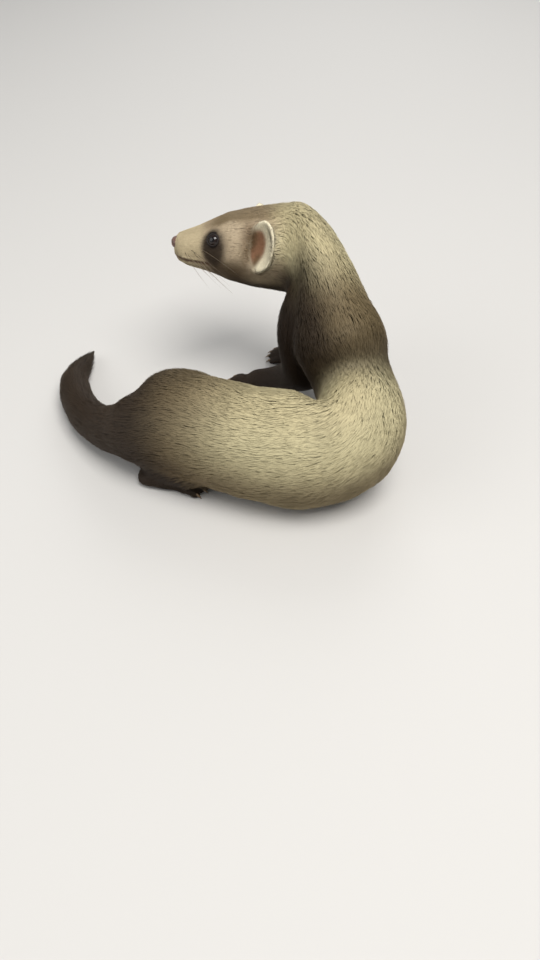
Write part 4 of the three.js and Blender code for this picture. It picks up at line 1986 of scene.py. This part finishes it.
def tapered_tube(
    shape: bmesh.types.BMesh, path: np.ndarray, radii: np.ndarray, sides: int
) -> None:
    """Adds a closed tapered tube along a path.

    Args:
        shape: The bmesh that the tube is added to.
        path: Points in metres.
        radii: A radius for each point, in metres.
        sides: How many sides.
    """
    points = [Vector(point) for point in path]
    first = (points[1] - points[0]).normalized()
    turn = first.to_track_quat("Z", "Y").to_matrix().to_4x4()
    made = bmesh.ops.create_circle(
        shape,
        cap_ends=True,
        segments=sides,
        radius=radii[0],
        matrix=Matrix.Translation(points[0]) @ turn,
    )
    ring = made["verts"]
    face = next(face for face in ring[0].link_faces)
    for k in range(1, len(points)):
        extruded = bmesh.ops.extrude_face_region(shape, geom=[face])
        verts = [part for part in extruded["geom"] if isinstance(part, bmesh.types.BMVert)]
        face = next(part for part in extruded["geom"] if isinstance(part, bmesh.types.BMFace))
        centre = sum((vertex.co for vertex in verts), Vector()) / len(verts)
        size = radii[k] / radii[k - 1]
        for vertex in verts:
            vertex.co = points[k] + (vertex.co - centre) * size


def smooth_mesh(shape: bmesh.types.BMesh, name: str) -> bpy.types.Mesh:
    """Makes a smooth mesh of a bmesh, which is freed.

    Args:
        shape: The bmesh.
        name: The mesh's name.

    Returns:
        The mesh.
    """
    mesh = bpy.data.meshes.new(name)
    shape.to_mesh(mesh)
    shape.free()
    mesh.shade_smooth()
    return mesh


@dataclass
class Eyes:
    """Glossy eyeballs, a little fuller in front, as an eye's clear front is."""

    line: BodyLine
    bulge: float = 0.3
    clear_front: Span = (0.75, 1.0)
    around: int = 40
    along: int = 24

    def build(self) -> None:
        """Makes both eyes."""
        material = EyeGloss().material()
        for name, eye in EYES.items():
            middle, gaze = eye.middle(), eye.gaze(self.line)
            ball = bmesh.new()
            bmesh.ops.create_uvsphere(
                ball, u_segments=self.around, v_segments=self.along, radius=eye.radius
            )
            turn = Vector(gaze).to_track_quat("Z", "Y").to_matrix()
            shares = []
            for vertex in ball.verts:
                share = vertex.co.z / eye.radius
                vertex.co *= 1 + self.bulge / eye.radius * smoothstep(share, *self.clear_front)
                vertex.co = Vector(to_row_frame(np.array(turn @ vertex.co) + middle))
                shares.append(share)
            mesh = smooth_mesh(ball, name)
            layer = mesh.attributes.new(GAZE, "FLOAT", "POINT")
            layer.data.foreach_set("value", np.clip(np.array(shares), 0, 1))
            made = add_piece(f"{name}_gloss", mesh, material)
            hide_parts(name)


@dataclass
class Eyelids:
    """A dark rim of lid round each eye, a little pointed at its corners."""

    line: BodyLine
    half_angle: float = 47.0
    thick: float = 0.5
    corner: float = 0.1
    corner_power: float = 3
    corner_mean: float = 0.4
    steps: int = 40
    sides: int = 10

    def build(self) -> None:
        """Makes both rims as one piece."""
        shape = bmesh.new()
        for eye in EYES.values():
            self.add_rim(shape, eye)
        bmesh.ops.recalc_face_normals(shape, faces=shape.faces)
        add_piece("eyelids", smooth_mesh(shape, "eyelids"), LID_SKIN.material())

    def add_rim(self, shape: bmesh.types.BMesh, eye: EyePlace) -> None:
        """Adds one rim, spun round the eye's gaze.

        Args:
            shape: The bmesh that the rim is added to.
            eye: The eye.
        """
        angle = math.radians(self.half_angle)
        start = Vector((eye.radius * math.sin(angle), 0.0, eye.radius * math.cos(angle)))
        ring = bmesh.ops.create_circle(
            shape,
            segments=self.sides,
            radius=self.thick,
            matrix=Matrix.Translation(start) @ Matrix.Rotation(math.pi / 2, 4, "X"),
        )["verts"]
        edges = list({edge for vertex in ring for edge in vertex.link_edges})
        before = set(shape.verts) - set(ring)
        bmesh.ops.spin(
            shape,
            geom=ring + edges,
            cent=(0, 0, 0),
            axis=(0, 0, 1),
            angle=2 * math.pi,
            steps=self.steps,
            use_merge=True,
        )
        middle = eye.middle()
        gaze = Vector(eye.gaze(self.line))
        _, axes = self.line.head_axes()
        across = Vector(axes[0]) - gaze * gaze.dot(Vector(axes[0]))
        across.normalize()
        above = gaze.cross(across)
        for vertex in set(shape.verts) - before:
            x, y, z = vertex.co
            turn = math.atan2(y, x)
            wide = 1 + self.corner * (abs(math.cos(turn)) ** self.corner_power - self.corner_mean)
            place = across * x * wide + above * y * wide + gaze * z
            vertex.co = Vector(to_row_frame(np.array(place) + middle))


@dataclass(frozen=True)
class Dent:
    """A soft round dent in the nose leather, in mm from the leather's middle."""

    out: float
    up: float
    wide: float
    tall: float
    depth: float
    steep: float

    def at(self, side: int, spot: np.ndarray) -> float:
        """How deep the dent of one side is at a place.

        Args:
            side: 1 for the left and -1 for the right.
            spot: The place.

        Returns:
            The depth in mm.
        """
        across = (spot[1] - side * self.out) / self.wide
        gap = math.hypot(across, (spot[2] - self.up) / self.tall)
        return self.depth * math.exp(-(gap**2) * self.steep)


@dataclass
class NoseTip:
    """The nose leather, with comma nostrils and the groove between them."""

    line: BodyLine
    radii: Triple = (3.2, 4.6, 3.4)
    centre: Triple = (60.1, 0.0, 1.4)
    around: int = 56
    along: int = 40
    nostril: Dent = Dent(out=2.35, up=-0.1, wide=1.15, tall=0.85, depth=2.3, steep=1.6)
    comma: Dent = Dent(out=3.45, up=-0.9, wide=0.9, tall=0.6, depth=0.8, steep=1.4)
    groove: float = 0.45
    groove_width: float = 0.42
    groove_top: float = 0.6
    front: float = 1.5

    def inward(self, spot: np.ndarray) -> float:
        """How far the leather lies inside its ball at a place.

        Args:
            spot: The place in mm from the leather's middle.

        Returns:
            The depth in mm.
        """
        depth = 0.0
        for side in (-1, 1):
            depth += self.nostril.at(side, spot)
            depth += self.comma.at(side, spot)
        groove = self.groove * math.exp(-((spot[1] / self.groove_width) ** 2))
        return depth + groove * (spot[2] < self.groove_top)

    def build(self) -> None:
        """Makes the nose leather."""
        ball = bmesh.new()
        bmesh.ops.create_uvsphere(
            ball, u_segments=self.around, v_segments=self.along, radius=1.0
        )
        for vertex in ball.verts:
            spot = np.array(vertex.co) * np.array(self.radii)
            if spot[0] > 0:
                spot[0] -= self.inward(spot) * min(1.0, spot[0] / self.front)
            place = self.line.from_head((np.array(self.centre) + spot)[None])
            vertex.co = Vector(to_row_frame(place)[0])
        mesh = smooth_mesh(ball, "nose_tip")
        made = add_piece("nose_tip", mesh, NoseLeather().material())
        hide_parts("nose")


@dataclass(frozen=True)
class FootSize:
    """What a foot's claws are placed by, in mm."""

    length: float
    width: float
    toe: float
    claw: float


@dataclass
class Claws:
    """Five curved claws on each foot."""

    fore: FootSize = FootSize(length=30, width=17, toe=7, claw=3.4)
    hind: FootSize = FootSize(length=40, width=17, toe=7.5, claw=3)
    numbers: tuple[int, ...] = (-2, -1, 0, 1, 2)
    knuckles: float = 0.72
    fan: float = 0.13
    set_back: float = 0.9
    apart: float = 0.19
    start: float = 1.0
    shares: tuple[float, ...] = (-0.35, 0.2, 0.6, 0.9, 1.12)
    widths: tuple[float, ...] = (0.95, 0.9025, 0.665, 0.38, 0.12)
    top: float = 2.9
    drop: float = 2.4
    least: float = 0.3
    sides: int = 8

    def build(self) -> None:
        """Makes all claws as one piece."""
        shape = bmesh.new()
        for leg in LEGS:
            for number in self.numbers:
                path = to_row_frame(self.path(leg, number))
                tapered_tube(shape, path, np.array(self.widths) * MM, self.sides)
        bmesh.ops.recalc_face_normals(shape, faces=shape.faces)
        add_piece("claws", smooth_mesh(shape, "claws"), CLAW_HORN.material())

    def path(self, leg: Leg, number: int) -> np.ndarray:
        """The axis of one claw.

        Args:
            leg: The leg.
            number: The toe, from -2 to 2.

        Returns:
            Points in mm.
        """
        size = self.hind if leg.hind else self.fore
        fan = number * self.fan
        ahead = np.array([math.cos(fan), math.sin(fan)])
        knuckle = size.length * self.knuckles - size.toe - size.claw - number**2 * self.set_back
        pad = np.array([knuckle, number * size.width * self.apart]) + ahead * size.toe
        heading = math.radians(leg.heading)
        east, north = math.cos(heading), math.sin(heading)
        path = []
        for share in self.shares:
            along, across = pad + ahead * (self.start + size.claw * share)
            high = max(self.top - self.drop * max(share, 0) ** 2, self.least)
            x = leg.foot_at[0] + along * east - across * north
            path.append((x, leg.foot_at[1] + along * north + across * east, high))
        return np.array(path)


@dataclass(frozen=True)
class WhiskerRow:
    """A row of whiskers: where it starts behind the nose, its turn down, and how many."""

    behind: float
    turn: float
    number: int


@dataclass
class Whiskers:
    """Fine whiskers in rows on the muzzle."""

    skin: Skin
    rows: tuple[WhiskerRow, ...] = (
        WhiskerRow(5.5, -12, 4),
        WhiskerRow(8.5, -26, 4),
        WhiskerRow(12.0, -8, 3),
    )
    apart: float = 2.4
    jog: float = 5.0
    muzzle: float = 12.0
    longest: float = 30.0
    length_range: tuple[float, float] = (0.6, 1.0)
    lift_range: tuple[float, float] = (-0.45, 0.1)
    growing: tuple[float, float] = (0.75, 0.1)
    leaning: tuple[float, float] = (-0.35, -0.12)
    sweep: Triple = (-0.3, 0.0, -0.28)
    shares: tuple[float, ...] = (0.0, 0.25, 0.5, 0.75, 1.0)
    widths: tuple[float, ...] = (1.0, 0.8, 0.55, 0.33, 0.12)
    root_radius: float = 0.13
    sides: int = 5

    def build(self) -> None:
        """Makes all whiskers as one piece."""
        random = np.random.default_rng(SEED + 1)
        local = self.skin.line.in_head(self.skin.fields.points)
        radii = np.array(self.widths) * self.root_radius * MM
        shape = bmesh.new()
        for side in (-1, 1):
            for row in self.rows:
                for k in range(row.number):
                    path = to_row_frame(self.path(local, side, row, k, random))
                    tapered_tube(shape, path, radii, self.sides)
        bmesh.ops.recalc_face_normals(shape, faces=shape.faces)
        add_piece("whiskers", smooth_mesh(shape, "whiskers"), WHISKER_HAIR.material())

    def path(
        self, local: np.ndarray, side: int, row: WhiskerRow, k: int, random: np.random.Generator
    ) -> np.ndarray:
        """The axis of one whisker.

        Args:
            local: The skin's points in the head's frame.
            side: 1 for the left and -1 for the right.
            row: Its row.
            k: Its number in the row, from the front.
            random: The source of random numbers.

        Returns:
            Points in mm.
        """
        angle = math.radians(row.turn + self.jog * k * (-1) ** k)
        round_muzzle = [side * self.muzzle * math.cos(angle), self.muzzle * math.sin(angle)]
        want = np.array([row.behind + self.apart * k, *round_muzzle])
        root = self.skin.fields.points[np.linalg.norm(local - want, axis=1).argmin()]
        length = self.longest * random.uniform(*self.length_range)
        length *= self.growing[0] + self.growing[1] * k
        back = self.leaning[0] + self.leaning[1] * k
        out = unit(np.array([back, side, random.uniform(*self.lift_range)]))
        _, axes = self.skin.line.head_axes()
        path = []
        for share in self.shares:
            sweep = np.array(self.sweep) * share
            path.append(root + (out + sweep) @ axes * length * share)
        return np.array(path)


# The studio


@dataclass(frozen=True)
class Lamp:
    """A soft square lamp.

    Its place and size are in metres, its power in watts, and its warmth is how much redder than
    blue its light is, as a share.
    """

    name: str
    place: Triple
    power: float
    size: float
    warmth: float = 0.0


@dataclass
class Studio:
    """Plain pale floor, soft light and the camera at the photograph's angle."""

    eye_point: Triple = (-13.3, -405.8, 332.6)
    pitch_down: float = 47.0
    lens: float = 29.25
    sensor: float = 36.0
    nearest: float = 0.01
    floor_size: float = 4.0
    floor_colour: Rgb = (206, 204, 200)
    floor_roughness: float = 0.8
    floor_grain: tuple[float, float] = (260.0, 3.0)
    floor_bump: tuple[float, float] = (0.08, 0.3)
    lamps: tuple[Lamp, ...] = (
        Lamp("key", (0.3, -0.4, 1.2), 16.0, 0.7, 0.04),
        Lamp("fill", (-0.9, -0.35, 0.6), 3.4, 0.9),
        Lamp("rim", (0.2, 0.95, 0.75), 4.0, 0.8),
    )
    aim: Triple = (0.03, 0.0, 0.05)
    sky: tuple[float, ...] = (0.95, 0.97, 1.0, 1.0)
    sky_strength: float = 0.32

    def camera(self) -> None:
        """Places the camera."""
        data = bpy.data.cameras.new("camera")
        data.lens = self.lens
        data.sensor_width = self.sensor
        data.sensor_fit = "AUTO"
        data.clip_start = self.nearest
        made = bpy.data.objects.new("camera", data)
        made.location = to_row_frame(np.array(self.eye_point))
        made.rotation_euler = (math.radians(90 - self.pitch_down), 0, 0)
        bpy.context.scene.collection.objects.link(made)
        bpy.context.scene.camera = made

    def floor(self) -> None:
        """Lays the floor."""
        shape = bmesh.new()
        bmesh.ops.create_grid(shape, x_segments=2, y_segments=2, size=self.floor_size / 2)
        mesh = bpy.data.meshes.new("floor")
        shape.to_mesh(mesh)
        shape.free()
        numbers = {
            "Base Color": (*linear(self.floor_colour), 1),
            "Roughness": self.floor_roughness,
        }
        material, tree, shader = new_material("floor_paint", numbers)
        add_bump(tree, shader, add_noise(tree, *self.floor_grain), *self.floor_bump)
        mesh.materials.append(material)
        made = bpy.data.objects.new("floor", mesh)
        bpy.context.scene.collection.objects.link(made)

    def light(self, lamp: Lamp) -> None:
        """Adds a lamp that faces the ferret's middle.

        Args:
            lamp: The lamp.
        """
        data = bpy.data.lights.new(lamp.name, "AREA")
        data.energy = lamp.power
        data.size = lamp.size
        data.color = (1.0, 1.0 - lamp.warmth / 2, 1.0 - lamp.warmth)
        made = bpy.data.objects.new(lamp.name, data)
        made.location = lamp.place
        aim = Vector(self.aim) - Vector(lamp.place)
        made.rotation_euler = aim.to_track_quat("-Z", "Y").to_euler()
        bpy.context.scene.collection.objects.link(made)

    def build(self) -> None:
        """Sets up camera, floor, lamps, sky and colour handling."""
        self.camera()
        self.floor()
        for lamp in self.lamps:
            self.light(lamp)
        world = bpy.data.worlds.new("studio")
        world.use_nodes = True
        background = next(node for node in world.node_tree.nodes if node.type == "BACKGROUND")
        background.inputs["Color"].default_value = self.sky
        background.inputs["Strength"].default_value = self.sky_strength
        bpy.context.scene.world = world
        bpy.context.scene.view_settings.view_transform = "Standard"


def main() -> None:
    """Builds the ferret's pieces in order and reports each."""
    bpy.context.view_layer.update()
    Studio().build()
    line = BodyLine()
    skin = Skin(line, Markings(line))
    skin.build()
    Coat(skin).build()
    Eyes(line).build()
    Eyelids(line).build()
    NoseTip(line).build()
    Claws().build()
    Whiskers(skin).build()


if __name__ == "__main__":
    logging.basicConfig(level=logging.INFO, format="%(message)s")
    main()
